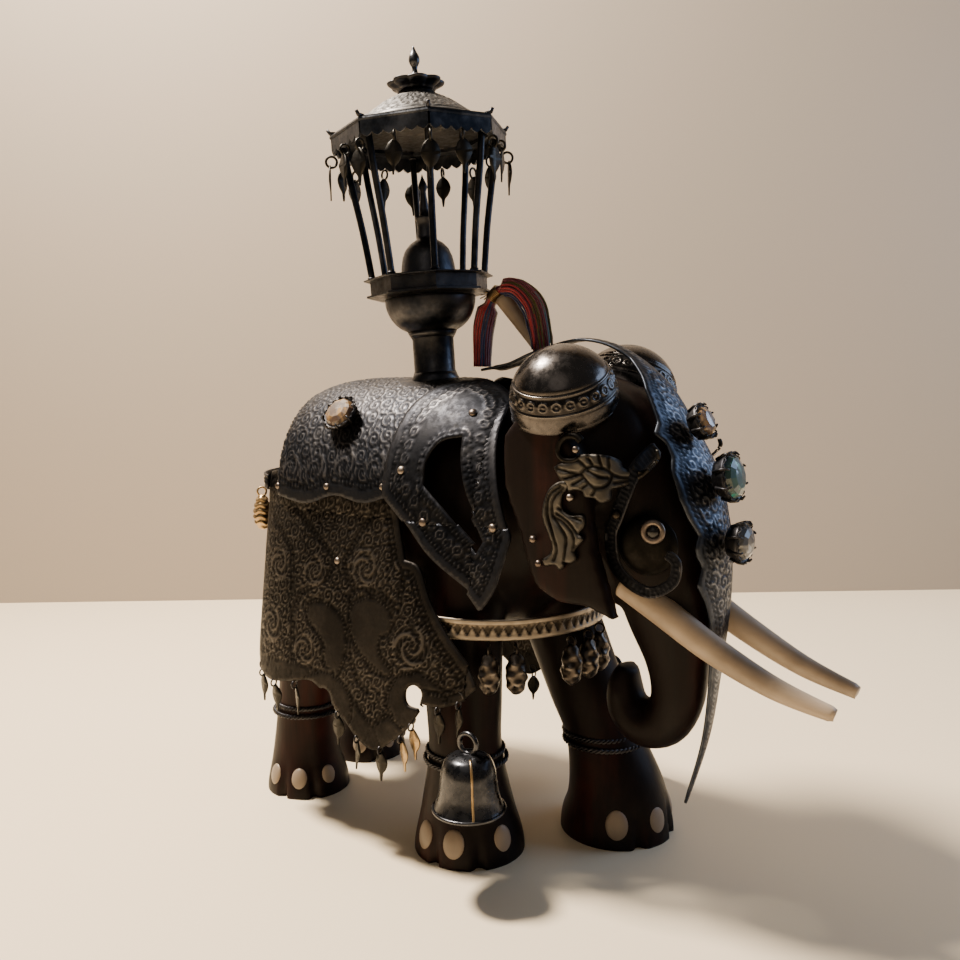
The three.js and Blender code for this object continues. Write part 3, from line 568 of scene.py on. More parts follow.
def metal(
    name, film, mottle, bare, rough=(0.34, 0.56), chased=True, rubbed=0.6, scale=45.0, metallic=1.0,
    dust=0.25,
):
    """Tarnished sheet: a dark film, thin in patches, rubbed bare on high lines and black in deep ones."""
    made, tree, shader = material(name, Metallic=metallic)
    clouds = group_node(tree, "Clouds", Scale=scale)
    handling = group_node(tree, "Handling")
    colour = blend_colours(tree, clouds.outputs["Broad"], film, mottle)
    freckle = math_node(tree, "MULTIPLY", clouds.outputs["Fine"], 0.35)
    colour = blend_colours(tree, freckle, colour, tuple(c * 0.45 for c in film))
    if chased:
        chasing = group_node(tree, "Chasing")
        worn = math_node(tree, "MULTIPLY", chasing.outputs["Rubbed"], rubbed)
        colour = blend_colours(tree, worn, colour, bare)
        deep = math_node(tree, "MULTIPLY", chasing.outputs["Deep"], 0.72)
        colour = blend_colours(tree, deep, colour, tuple(c * 0.22 for c in film))
    else:
        worn = math_node(tree, "MULTIPLY", clouds.outputs["Broad"], rubbed * 0.35)
        colour = blend_colours(tree, worn, colour, bare)
    dusty = math_node(tree, "MULTIPLY", handling.outputs["Dust"], dust)
    colour = blend_colours(tree, dusty, colour, (0.17, 0.155, 0.135))
    tree.links.new(colour, shader.inputs["Base Color"])
    finish = add(tree, "ShaderNodeMapRange")
    tree.links.new(clouds.outputs["Fine"], finish.inputs["Value"])
    finish.inputs["To Min"].default_value, finish.inputs["To Max"].default_value = rough
    tree.links.new(finish.outputs["Result"], shader.inputs["Roughness"])
    bump = add(tree, "ShaderNodeBump", Strength=0.22, Distance=0.00012, Height=handling.outputs["Height"])
    tree.links.new(bump.outputs["Normal"], shader.inputs["Normal"])
    return made


def wood_material(colours):
    """Dark heartwood: long vertical grain, rubbed red in patches, with grey wax and dust in scattered spots.
    """
    made, tree, shader = material("heartwood", Roughness=0.42, Specular_IOR_Level=0.12)
    place = tree.nodes.new("ShaderNodeTexCoord").outputs["Object"]
    long = add(tree, "ShaderNodeMapping", Vector=place, Scale=(1.0, 1.0, 0.13))
    grain = add(tree, "ShaderNodeTexNoise", Vector=long.outputs[0], Scale=260.0, Detail=5.0, Roughness=0.65)
    figure = add(tree, "ShaderNodeTexNoise", Vector=long.outputs[0], Scale=38.0, Detail=4.0, Distortion=0.8)
    clouds = group_node(tree, "Clouds", Scale=22.0)
    handling = group_node(tree, "Handling", Scale=500.0)
    red = math_node(
        tree, "MULTIPLY", stretch(tree, figure.outputs["Fac"], 0.42, 0.66), clouds.outputs["Broad"],
    )
    colour = blend_colours(tree, red, tuple(colours.wood), tuple(colours.wood_red))
    dark = stretch(tree, grain.outputs["Fac"], 0.55, 0.35)
    colour = blend_colours(tree, math_node(tree, "MULTIPLY", dark, 0.6), colour, (0.003, 0.0018, 0.0016))
    dusty = math_node(tree, "MULTIPLY", handling.outputs["Dust"], 0.2)
    colour = blend_colours(tree, dusty, colour, (0.018, 0.015, 0.014))
    tree.links.new(colour, shader.inputs["Base Color"])
    finish = add(tree, "ShaderNodeMapRange")
    tree.links.new(grain.outputs["Fac"], finish.inputs["Value"])
    finish.inputs["To Min"].default_value, finish.inputs["To Max"].default_value = (0.3, 0.62)
    tree.links.new(finish.outputs["Result"], shader.inputs["Roughness"])
    bump = add(tree, "ShaderNodeBump", Strength=0.45, Distance=0.0003, Height=grain.outputs["Fac"])
    tree.links.new(bump.outputs["Normal"], shader.inputs["Normal"])
    return made


def bone_material(name, colour, along="y", dirt=0.55):
    """Aged bone: fibres along its length, brown dirt in the cracks."""
    made, tree, shader = material(name, Roughness=0.44)
    place = tree.nodes.new("ShaderNodeTexCoord").outputs["Object"]
    share = (1.0, 0.09, 1.0) if along == "y" else (1.0, 1.0, 0.15)
    long = add(
        tree, "ShaderNodeMapping", Vector=place, Scale=share, Rotation=(-0.42 if along == "y" else 0, 0, 0),
    )
    fibre = add(tree, "ShaderNodeTexNoise", Vector=long.outputs[0], Scale=520.0, Detail=4.0, Roughness=0.6)
    crack = add(tree, "ShaderNodeTexNoise", Vector=long.outputs[0], Scale=190.0, Detail=6.0, Roughness=0.8)
    stain = add(tree, "ShaderNodeTexNoise", Vector=place, Scale=48.0, Detail=4.0)
    tint = blend_colours(
        tree, stretch(tree, stain.outputs["Fac"], 0.4, 0.72), colour, tuple(c * 0.55 for c in colour),
    )
    tint = blend_colours(
        tree, math_node(tree, "MULTIPLY", fibre.outputs["Fac"], 0.35), tint, (0.30, 0.20, 0.12),
    )
    cracked = stretch(tree, crack.outputs["Fac"], 0.64, 0.72)
    tint = blend_colours(tree, math_node(tree, "MULTIPLY", cracked, dirt), tint, (0.05, 0.028, 0.016))
    tree.links.new(tint, shader.inputs["Base Color"])
    height = math_node(tree, "SUBTRACT", fibre.outputs["Fac"], cracked)
    bump = add(tree, "ShaderNodeBump", Strength=0.4, Distance=0.0002, Height=height)
    tree.links.new(bump.outputs["Normal"], shader.inputs["Normal"])
    return made


def stone_material(name, deep, glint_colour):
    """Foiled glass: painted shade at the edge of each facet, painted glints of light inside."""
    made, tree, shader = material(name, Roughness=0.06, Coat_Weight=1.0, Coat_Roughness=0.03, IOR=1.55)
    place = tree.nodes.new("ShaderNodeTexCoord").outputs["Object"]
    cells = add(tree, "ShaderNodeTexVoronoi", Vector=place, Scale=330.0, feature="F1")
    swirl = add(tree, "ShaderNodeTexNoise", Vector=place, Scale=150.0, Detail=2.0, Distortion=1.5)
    # painted glints: patches where the stone turns bright, as if light flashed back from the foil
    painted_glint = stretch(tree, swirl.outputs["Fac"], 0.5, 0.66)
    colour = blend_colours(tree, painted_glint, deep, glint_colour)
    # painted shade, darker towards the edge of each cell
    painted_facet_shade = math_node(tree, "MULTIPLY", stretch(tree, cells.outputs["Distance"], 0.2, 0.9), 0.6)
    colour = blend_colours(tree, painted_facet_shade, colour, tuple(c * 0.2 for c in deep))
    tree.links.new(colour, shader.inputs["Base Color"])
    glow = math_node(tree, "MULTIPLY", painted_glint, 0.35)
    tree.links.new(math_node(tree, "SUBTRACT", 0.55, glow), shader.inputs["Roughness"])
    return made


def thread_material(name, colour):
    """Loose silk thread: fine strands along its length and a soft sheen."""
    made, tree, shader = material(name, Roughness=0.62, Sheen_Weight=0.5, Sheen_Roughness=0.4)
    place = tree.nodes.new("ShaderNodeTexCoord").outputs["Object"]
    strand = add(tree, "ShaderNodeTexNoise", Vector=place, Scale=1400.0, Detail=2.0)
    tint = blend_colours(
        tree, strand.outputs["Fac"], tuple(c * 0.45 for c in colour), tuple(min(1, c * 1.4) for c in colour)
    )
    tree.links.new(tint, shader.inputs["Base Color"])
    bump = add(tree, "ShaderNodeBump", Strength=0.5, Distance=0.0001, Height=strand.outputs["Fac"])
    tree.links.new(bump.outputs["Normal"], shader.inputs["Normal"])
    return made


def paint_material(name, colour, rough, mottle=0.03):
    made, tree, shader = material(name, Roughness=rough)
    place = tree.nodes.new("ShaderNodeTexCoord").outputs["Object"]
    cloud = add(tree, "ShaderNodeTexNoise", Vector=place, Scale=4.0, Detail=6.0)
    darker, lighter = tuple(c * (1 - mottle) for c in colour), tuple(c * (1 + mottle) for c in colour)
    tint = blend_colours(tree, cloud.outputs["Fac"], darker, lighter)
    tree.links.new(tint, shader.inputs["Base Color"])
    return made


THREADS = {
    "red": (0.42, 0.03, 0.04),
    "maroon": (0.13, 0.012, 0.03),
    "teal": (0.02, 0.16, 0.13),
    "navy": (0.018, 0.028, 0.10),
    "olive": (0.14, 0.12, 0.03),
    "white": (0.55, 0.50, 0.44),
}


class ELEPHANT_OT_finishes(bpy.types.Operator):
    """Makes every finish"""

    bl_idname = "elephant.finishes"
    bl_label = "Finishes"

    def execute(self, context):
        colours = context.scene.elephant_colours
        clouds_group()
        chasing_group()
        scratches_group()
        film, bare = tuple(colours.tarnish), tuple(colours.bare)
        metal("chased_metal", film, (0.032, 0.032, 0.036), bare, (0.40, 0.60), rubbed=0.35, dust=0.12)
        # a lighter, bluer copy of the tarnished sheet for the face plate: the cool light from the right is
        # painted into its colour
        metal(
            "lit_plate_metal", (0.034, 0.040, 0.054), (0.075, 0.083, 0.10), (0.40, 0.40, 0.42), (0.32, 0.5),
            rubbed=0.5, dust=0.15,
        )
        metal(
            "roof_metal", (0.040, 0.040, 0.042), (0.075, 0.074, 0.073), (0.22, 0.21, 0.20), (0.42, 0.6),
            rubbed=0.5, dust=0.1,
        )
        # a darker, browner copy of the tarnished sheet for the side cloths: the shade on the flanks and the
        # dim warm light are painted into its colour
        metal(
            "shaded_cloth_metal", (0.017, 0.0155, 0.0145), (0.036, 0.032, 0.029), (0.17, 0.152, 0.135), (0.4, 0.6),
            rubbed=0.4, dust=0.1,
        )
        metal(
            "leaf_metal", (0.06, 0.057, 0.052), (0.12, 0.11, 0.097), (0.27, 0.25, 0.22), (0.34, 0.52),
            rubbed=0.7, dust=0.1,
        )
        metal(
            "shrine_metal", (0.012, 0.015, 0.022), (0.030, 0.033, 0.042), bare, (0.28, 0.5), chased=False,
            scale=60.0,
        )
        metal("wire_metal", (0.020, 0.021, 0.026), (0.05, 0.05, 0.055), bare, (0.35, 0.55), chased=False)
        metal(
            "boss_metal", (0.06, 0.055, 0.054), (0.11, 0.10, 0.095), (0.30, 0.28, 0.26), (0.17, 0.32),
            rubbed=0.3, dust=0.1,
        )
        metal(
            "rivet_metal", (0.13, 0.10, 0.085), (0.24, 0.20, 0.17), (0.42, 0.37, 0.32), (0.3, 0.5),
            chased=False,
        )
        metal(
            "band_metal", (0.075, 0.062, 0.048), (0.15, 0.125, 0.10), (0.36, 0.31, 0.25), (0.32, 0.5),
            rubbed=0.6, dust=0.1,
        )
        metal(
            "bead_metal", (0.06, 0.05, 0.043), (0.11, 0.094, 0.08), (0.27, 0.235, 0.2), (0.26, 0.44),
            rubbed=0.55, dust=0.1,
        )
        metal(
            "acanthus_metal", (0.022, 0.02, 0.018), (0.05, 0.046, 0.041), (0.14, 0.13, 0.115), (0.36, 0.56),
            rubbed=0.5, dust=0.1,
        )
        metal(
            "gold_seam", (0.32, 0.21, 0.10), (0.46, 0.33, 0.17), (0.78, 0.58, 0.34), (0.3, 0.5), chased=False,
        )
        metal(
            "bell_metal", (0.028, 0.03, 0.035), (0.07, 0.073, 0.083), (0.2, 0.2, 0.215), (0.2, 0.38),
            chased=False, dust=0.1,
        )
        metal(
            "eave_metal", (0.022, 0.027, 0.037), (0.10, 0.11, 0.13), (0.3, 0.3, 0.32), (0.3, 0.5),
            chased=False, scale=80.0,
        )
        paint_material("wood_black", (0.006, 0.005, 0.005), 0.25)
        wood_material(colours)
        bone = tuple(colours.bone)
        bone_material("tusk_bone", bone)
        bone_material("nail_bone", tuple(c * 0.5 for c in bone), "z", 0.35)
        bone_material("peg_bone", tuple(c * 0.8 for c in bone), "z")
        # each stone's second colour is the colour of its painted glints
        stone_material("amber_gem", (0.075, 0.033, 0.010), (0.40, 0.25, 0.11))
        stone_material("green_gem", (0.004, 0.060, 0.052), (0.07, 0.46, 0.38))
        stone_material("clear_gem", (0.06, 0.063, 0.066), (0.38, 0.40, 0.42))
        for name, colour in THREADS.items():
            thread_material("silk_" + name, colour)
        paint_material("floor_paint", (0.85, 0.71, 0.50), 0.6)
        paint_material("wall_paint", (0.36, 0.305, 0.245), 0.9, 0.015)
        return {"FINISHED"}


def finish(name):
    return bpy.data.materials[name]


# ------------------------------------------------------------------ stage
CAMERA_AT = (-274.2, -181.1, 163.8)
CAMERA_HEADING, CAMERA_YAW, CAMERA_PITCH, CAMERA_ROLL = -53.4, -0.6, -6.85, 0.82
CAMERA_LENS, CAMERA_SENSOR = 36.1, 36.0


def lamp(name, kind, place, target, energy, size, colour):
    data = bpy.data.lights.new(name, kind)
    data.energy, data.color = energy, colour
    if kind == "AREA":
        data.shape, data.size = "DISK", size
    else:
        data.shadow_soft_size = size
    thing = bpy.data.objects.new(name, data)
    thing.location = Vector(place) * MM
    thing.rotation_euler = (Vector(target) - Vector(place)).to_track_quat("-Z", "Y").to_euler()
    bpy.context.scene.collection.objects.link(thing)
    return thing


class ELEPHANT_OT_stage(bpy.types.Operator):
    """Lays the floor and the wall, and sets the lights and the camera"""

    bl_idname = "elephant.stage"
    bl_label = "Stage"

    def execute(self, context):
        heading = math.radians(CAMERA_HEADING)
        flat = Matrix.Rotation(math.radians(CAMERA_YAW), 3, "Z") @ Vector(
            (-math.sin(heading), math.cos(heading), 0)
        )
        right = flat.cross(Vector((0, 0, 1))).normalized()
        pitch, roll = math.radians(CAMERA_PITCH), math.radians(CAMERA_ROLL)
        ahead = flat * math.cos(pitch) + Vector((0, 0, math.sin(pitch)))
        up = right.cross(ahead)
        axis_x = right * math.cos(roll) - up * math.sin(roll)
        axis_y = right * math.sin(roll) + up * math.cos(roll)
        turn = Matrix((axis_x, axis_y, -ahead)).transposed().to_4x4()
        data = bpy.data.cameras.new("camera")
        data.lens, data.sensor_width = CAMERA_LENS, CAMERA_SENSOR
        data.clip_start = 0.01
        camera = bpy.data.objects.new("camera", data)
        camera.matrix_world = Matrix.Translation(Vector(CAMERA_AT) * MM) @ turn
        context.scene.collection.objects.link(camera)
        context.scene.camera = camera

        centre = Vector(CAMERA_AT) + flat * 340
        back = centre + flat * 330
        for name, paint, place, half, tilt in (
            ("floor", "floor_paint", Vector((centre.x, centre.y, 0)), (1600, 1600), None),
            ("wall", "wall_paint", Vector((back.x, back.y, 800)), (2400, 1200), flat),
        ):
            bm = bmesh.new()
            bmesh.ops.create_grid(bm, x_segments=1, y_segments=1, size=1)
            if tilt is None:
                place = Vector((back.x, back.y, 0)) - flat * half[1]
                axes = Matrix((right, flat, Vector((0, 0, 1)))).transposed()
            else:
                axes = Matrix((right, Vector((0, 0, 1)), -flat)).transposed()
            scale = Matrix.Diagonal((half[0], half[1], 1, 1))
            moved(bm, Matrix.Scale(MM, 4) @ Matrix.Translation(place) @ axes.to_4x4() @ scale)
            mesh = bpy.data.meshes.new(name)
            bm.to_mesh(mesh)
            bm.free()
            thing = bpy.data.objects.new(name, mesh)
            mesh.materials.append(finish(paint))
            context.scene.collection.objects.link(thing)

        middle = Vector((0, 0, 120))
        left = -right
        above = Vector((0, 0, 1))
        lamp(
            "key", "AREA", middle + left * 330 + flat * 110 + above * 610, middle, 20.0, 0.12,
            (1.0, 0.88, 0.74),
        )
        lamp(
            "sky", "AREA", middle + right * 520 + flat * 90 + above * 200, middle, 1.5, 0.4,
            (0.50, 0.68, 1.0),
        )
        lamp(
            "front", "AREA", middle - flat * 620 + left * 200 + above * 480, middle, 0.3, 0.5,
            (1.0, 0.88, 0.76),
        )
        backdrop = back + above * 430
        wash = lamp(
            "wall_wash", "AREA", back - flat * 250 + above * 640, backdrop, 0.6, 0.3, (1.0, 0.93, 0.86),
        )
        wash.data.spread = math.radians(120)
        world = bpy.data.worlds.new("room")
        world.use_nodes = True
        world.node_tree.nodes["Background"].inputs["Color"].default_value = (0.80, 0.74, 0.68, 1)
        world.node_tree.nodes["Background"].inputs["Strength"].default_value = 0.12
        context.scene.world = world
        return {"FINISHED"}


# ------------------------------------------------------------------ carving
def limb(stations, sides=28, cuts=5):
    """A closed limb through stations (x, y, z, across, deep): across lies nearest to X."""
    rows = rounded(stations, cuts)
    bm = bmesh.new()
    rings = []
    for i, row in enumerate(rows):
        before, after = rows[max(i - 1, 0)], rows[min(i + 1, len(rows) - 1)]
        along = Vector(after[:3] - before[:3]).normalized()
        side = (Vector((1, 0, 0)) - along * along.x).normalized()
        out = side.cross(along)
        ring = []
        for k in range(sides):
            angle = 2 * math.pi * k / sides
            offset = side * math.cos(angle) * row[3] + out * math.sin(angle) * row[4]
            ring.append(bm.verts.new(Vector(row[:3]) + offset))
        rings.append([bm.edges.new((ring[k], ring[(k + 1) % sides])) for k in range(sides)])
    for one, other in zip(rings, rings[1:]):
        bmesh.ops.bridge_loops(bm, edges=one + other)
    bmesh.ops.holes_fill(bm, edges=bm.edges, sides=sides)
    bmesh.ops.recalc_face_normals(bm, faces=bm.faces)
    return bm


NECK = [(0, 30, 118, 28, 33), (0, 8, 118, 28, 31), (0, -12, 121, 26, 27), (0, -30, 124, 20, 21)]
FACE = [
    (0, -20, 146, 18, 17), (0, -37, 136, 22, 21), (0, -46, 120, 21, 21), (0, -52.5, 102, 17, 17.5),
    (0, -55.5, 85, 13, 14.5), (0, -58, 70, 10.4, 10), (0, -58, 58, 9, 8.4), (0, -53.5, 49.5, 8.4, 8),
    (0, -46, 47.5, 8, 7.4), (0, -40.5, 52.5, 8, 6.4), (0, -39.5, 60, 7.4, 5.2), (0, -41, 66, 5, 3),
]
JAW = [(0, -26, 106, 18, 14), (0, -36, 96, 14, 10), (0, -42, 89, 7, 5)]
TAIL = [
    (0, 98, 122, 3.4, 3), (0, 104.5, 108, 3.2, 2.8), (0, 105.5, 88, 2.7, 2.4), (0, 105, 70, 4, 2.6),
    (0, 104.5, 58, 1, 1),
]
LEGS = [  # x, y, foot radius, ankle radius, y of the hip
    (-23, 8.5, 19, 12.6, 12),
    (18, -26.5, 20, 13, 6),
    (-19.4, 90.5, 16, 11.4, 82),
    (19.4, 94.5, 16, 11.4, 82),
]
ANKLE_Z, HIP_Z = 34.0, 100.0
SKULL, SKULL_RADIUS = (20.5, -29.0, 153.0), 14.3
EAR_X, EAR_THICK = 28.6, 4.4
EAR_OUTLINE = [
    (-20, 149), (-31, 147), (-40, 138), (-44, 124), (-46, 110), (-50, 98), (-53, 88.5), (-44, 92),
    (-34, 92.5), (-25, 98), (-20, 112), (-15, 126), (-14, 140),
]
TUSK = [
    (13, -46, 96, 4.4), (13.7, -57, 90.5, 4.6), (13.6, -75, 80, 4.2), (12.6, -93, 71.5, 3.3),
    (11.4, -109.6, 66.6, 2.2),
]
TOE_TURNS = {0: (-112, -71, -14), 1: (-62, -14, 36), 2: (-105, -58, -12), 3: (-60, -10, 45)}


def leg_y(leg, z):
    _, y, _, _, hip_y = leg
    return y + (hip_y - y) * (z - ANKLE_Z * 0.6) / (HIP_Z - ANKLE_Z * 0.6)


def leg_stations(leg):
    x, y, foot, ankle, hip_y = leg
    return [
        (x * 0.86, hip_y, HIP_Z, 12, 16),
        (x * 0.93, leg_y(leg, 74), 74, 12.6, 14.4),
        (x * 0.98, leg_y(leg, 50), 50, ankle, ankle + 0.6),
        (x, leg_y(leg, ANKLE_Z), ANKLE_Z, ankle, ankle),
        (x, y, 15, foot - 3.4, foot - 2.8),
        (x, y - 0.5, 3, foot - 0.4, foot),
        (x, y - 0.5, -8, foot - 0.4, foot),
    ]


def ball(centre, radii, segments=32):
    bm = bmesh.new()
    bmesh.ops.create_uvsphere(bm, u_segments=segments, v_segments=segments // 2, radius=1)
    return moved(bm, Matrix.Translation(centre) @ Matrix.Diagonal((*radii, 1)))


def slab(outline, low, high):
    """A flat outline in (y, z) thickened along X."""
    bm = bmesh.new()
    chain(bm, [(low, a, b) for a, b in outline], closed=True)
    made = bmesh.ops.triangle_fill(bm, use_beauty=True, use_dissolve=True, edges=bm.edges[:])
    faces = [g for g in made["geom"] if isinstance(g, bmesh.types.BMFace)]
    out = bmesh.ops.extrude_face_region(bm, geom=faces)
    verts = [g for g in out["geom"] if isinstance(g, bmesh.types.BMVert)]
    bmesh.ops.translate(bm, verts=verts, vec=(high - low, 0, 0))
    return outward(bm)


def remeshed(bm, voxel, smoothing):
    """One skin round all of a bmesh's overlapping shapes."""
    mesh = bpy.data.meshes.new("lump")
    bm.to_mesh(mesh)
    bm.free()
    lump = bpy.data.objects.new("lump", mesh)
    bpy.context.scene.collection.objects.link(lump)
    skin = lump.modifiers.new("skin", "REMESH")
    skin.mode, skin.voxel_size = "VOXEL", voxel
    soft = lump.modifiers.new("soft", "SMOOTH")
    soft.factor, soft.iterations = 0.5, smoothing
    ready = bpy.data.meshes.new_from_object(lump.evaluated_get(bpy.context.evaluated_depsgraph_get()))
    bpy.data.objects.remove(lump)
    bpy.data.meshes.remove(mesh)
    out = bmesh.new()
    out.from_mesh(ready)
    bpy.data.meshes.remove(ready)
    return out


class ELEPHANT_OT_carving(bpy.types.Operator):
    """Carves the body with its ears, the tusks and the toenails, and twists the anklets"""

    bl_idname = "elephant.carving"
    bl_label = "Carving"

    def execute(self, context):
        sizes = context.scene.elephant_sizes
        torso = []
        for t in np.linspace(-1, 1, 25):
            y = TORSO_Y + TORSO_LENGTH * math.sin(t * math.pi / 2 * 0.985)
            share = float(torso_share(np.array(y)))
            torso.append((0, y, TORSO_Z, TORSO_WIDTH * share, TORSO_HEIGHT * share))
        parts = [limb(torso, 40, 2), limb(NECK, 32), limb(FACE, 32), limb(JAW, 24), limb(TAIL, 16)]
        parts += [limb(leg_stations(leg), 32) for leg in LEGS]
        for _, sign in SIDES:
            parts.append(ball((sign * SKULL[0], SKULL[1], SKULL[2]), (SKULL_RADIUS,) * 3))
            parts.append(ball((sign * 11, -34, 133), (17, 22, 24)))
            inner, outer = sorted((sign * (EAR_X - 1), sign * (EAR_X + EAR_THICK)))
            parts.append(slab(smooth_loop(EAR_OUTLINE, 2.0), inner, outer))
        body = remeshed(together(parts), sizes.wood_voxel / MM, 7)
        everything = body.verts[:] + body.edges[:] + body.faces[:]
        bmesh.ops.bisect_plane(
            body, geom=everything, dist=1e-4, plane_co=(0, 0, 0.02), plane_no=(0, 0, -1), clear_outer=True,
        )
        bmesh.ops.holes_fill(body, edges=[e for e in body.edges if e.is_boundary], sides=0)
        for vert in body.verts:
            for index, (x, y, foot, _, _) in enumerate(LEGS):
                if vert.co.z > 14:
                    continue
                out = Vector((vert.co.x - x, vert.co.y - y, 0))
                if out.length < foot * 0.6 or out.length > foot * 1.25:
                    continue
                turn = math.degrees(math.atan2(out.x, -out.y))
                toes = TOE_TURNS[index]
                for one, other in zip(toes, toes[1:]):
                    gap = abs((turn - (one + other) / 2 + 180) % 360 - 180)
                    depth = 2.2 * max(0, 1 - (gap / 7) ** 2) * (1 - vert.co.z / 14)
                    vert.co -= out.normalized() * depth
        settle(
            body, "carved_body", finish("heartwood"),
            replaces=("elephant_body", "ear_left", "ear_right"),
        )

        for side, sign in SIDES:
            rows = rounded(TUSK, 8)
            tusk = limb([(sign * x, y, z, r, r) for x, y, z, r in rows], 24, 1)
            tip = [v for v in tusk.verts if v.co.y < -109]
            bmesh.ops.scale(
                tusk, vec=(0.8, 1, 0.8), verts=tip, space=Matrix.Translation((-sign * 11.4, 109.6, -66.6)),
            )
            settle(tusk, "carved_tusk_" + side, finish("tusk_bone"), replaces=("tusk_" + side,))

        nails = []
        for index, (x, y, foot, _, _) in enumerate(LEGS):
            for turn in TOE_TURNS[index]:
                out = Vector((math.sin(math.radians(turn)), -math.cos(math.radians(turn)), 0.2))
                seat = Vector((x, y - 0.5, 4.6)) + out * (foot - 2.1)
                nail = ball((0, 0, 0), (3.7 * foot / 19, 5.0 * foot / 19, 1.5), 24)
                across = Vector((0, 0, 1)).cross(out).normalized()
                ahead = out.normalized()
                axes = Matrix((across, ahead.cross(across), ahead)).transposed().to_4x4()
                nails.append(moved(nail, Matrix.Translation(seat) @ axes))
        settle(together(nails), "toenails", finish("nail_bone"))

        anklets = []
        for x, y, foot, ankle, hip in LEGS:
            for height in (31.5, 34.4):
                centre = Vector((x, leg_y((x, y, foot, ankle, hip), height), height))
                wide = ankle + 0.35 + (34.4 - height) * 0.32
                for phase in (0, math.pi):
                    line = []
                    for i in range(144):
                        a, twist = 2 * math.pi * i / 144, 26 * 2 * math.pi * i / 144 + phase
                        r = wide + 0.4 * math.cos(twist)
                        line.append(centre + around(r, a, 0.55 * math.sin(twist)))
                    anklets.append(wire(line, 0.45, 5, closed=True))
        settle(together(anklets), "anklets", finish("wire_metal"))
        return {"FINISHED"}


# ------------------------------------------------------------------ dress over the back and flanks
CLOTH_OUTLINE = [
    (29, 126), (25, 110), (22, 100), (16, 98), (11, 88), (5, 79), (0, 73), (-5, 67), (-8, 62.5), (-3, 58),
    (4, 55), (10, 55), (14, 49), (18, 44), (28, 37), (36, 39), (43, 44), (52, 50), (60, 54), (70, 52),
    (82, 50), (90, 52), (96, 66), (98, 84), (97, 104), (95, 124),
]
FRONT_COMMA = [
    (43.8, 81.9), (35.1, 86.4), (26.8, 82.9), (25.7, 76.5), (30.1, 73.2), (29.1, 68.1), (23.5, 63.8),
    (26.2, 61.3), (35.5, 65.4), (42.4, 73.0),
]
REAR_COMMA = [
    (65.1, 79.8), (59.7, 81.9), (50.2, 79.7), (45.9, 75.2), (44.5, 66.6), (47.3, 58.0), (53.8, 60.3),
    (55.7, 68.3), (63.4, 74.4),
]
FRONT_SLOT = [
    (17.4, 58.6), (14.2, 60.6), (11.2, 58.6), (11.6, 54.5), (10.6, 51), (9.6, 48.6), (6, 45), (6.5, 50),
    (9, 53), (16.2, 54),
]
REAR_SLOT = [(57, 50), (54.4, 52.6), (50.8, 51.6), (48.6, 47), (47, 42), (52, 42), (55, 46)]
MEDALLIONS = [
    ((64.2, 64.4), 5.6), ((16.9, 72.6), 7.6), ((62.4, 92.1), 5.6), ((38.4, 95.4), 6.4), ((84, 70), 7.2),
    ((82, 92), 6.2),
]
HOOKS = [
    (90, 52.6), (80.9, 51.2), (69, 53), (46.7, 47), (37.0, 40.8), (26.4, 39.4), (18.4, 44.6), (14.8, 49.2),
    (5.6, 55.8), (-0.9, 58.4),
]
SADDLE_OUTLINE = [(84, 117), (68, 115.5), (54, 119), (40, 117.5), (26.5, 121), (24.4, 133), (21.5, 146)]
FRAME_OUTER = [
    (22, 152), (13, 153.5), (2, 150.5), (-5, 146), (-8, 137), (-13, 123), (-18.5, 110), (-16, 101),
    (-13.4, 93), (-9, 86.5), (-0.6, 94), (11, 102.5), (21, 112.5), (30, 120), (31, 125), (30, 139), (28, 147),
]
FRAME_INNER = [
    (5, 138), (3, 130), (0, 122), (-4, 114.5), (-8.3, 108), (-6, 104), (5, 116), (14.4, 124.3), (14.7, 131.5),
    (11.5, 136.5),
]
FRAME_RIVETS = [(23.7, 128.1), (13.8, 113.6), (5.1, 144.3), (-11.5, 113.4)]


def laid_out(points):
    """An outline in (y, z) as (y, down from the ridge)."""
    return [(y, max(2.0, down_at(y, z))) for y, z in points]


PLAIN = 0.55


def medallion(points, centre, radius):
    """Three curling leaves round a centre, inside a ring."""
    offset = points - np.array(centre)
    r, angle = np.hypot(offset[:, 0], offset[:, 1]), np.arctan2(offset[:, 1], offset[:, 0])
    arms = 0.5 + 0.5 * np.cos(3 * (angle - 3.4 * np.log(r / radius + 0.18)))
    curls = 0.5 + 0.5 * np.cos(2 * math.pi * r / 1.5 + 5 * angle)
    height = np.where(arms > 0.45, arms, curls * 0.8)
    ring = ridge(r - radius * 0.93, 0.5)
    return np.maximum(height * (r < radius * 0.86), ring), r < radius


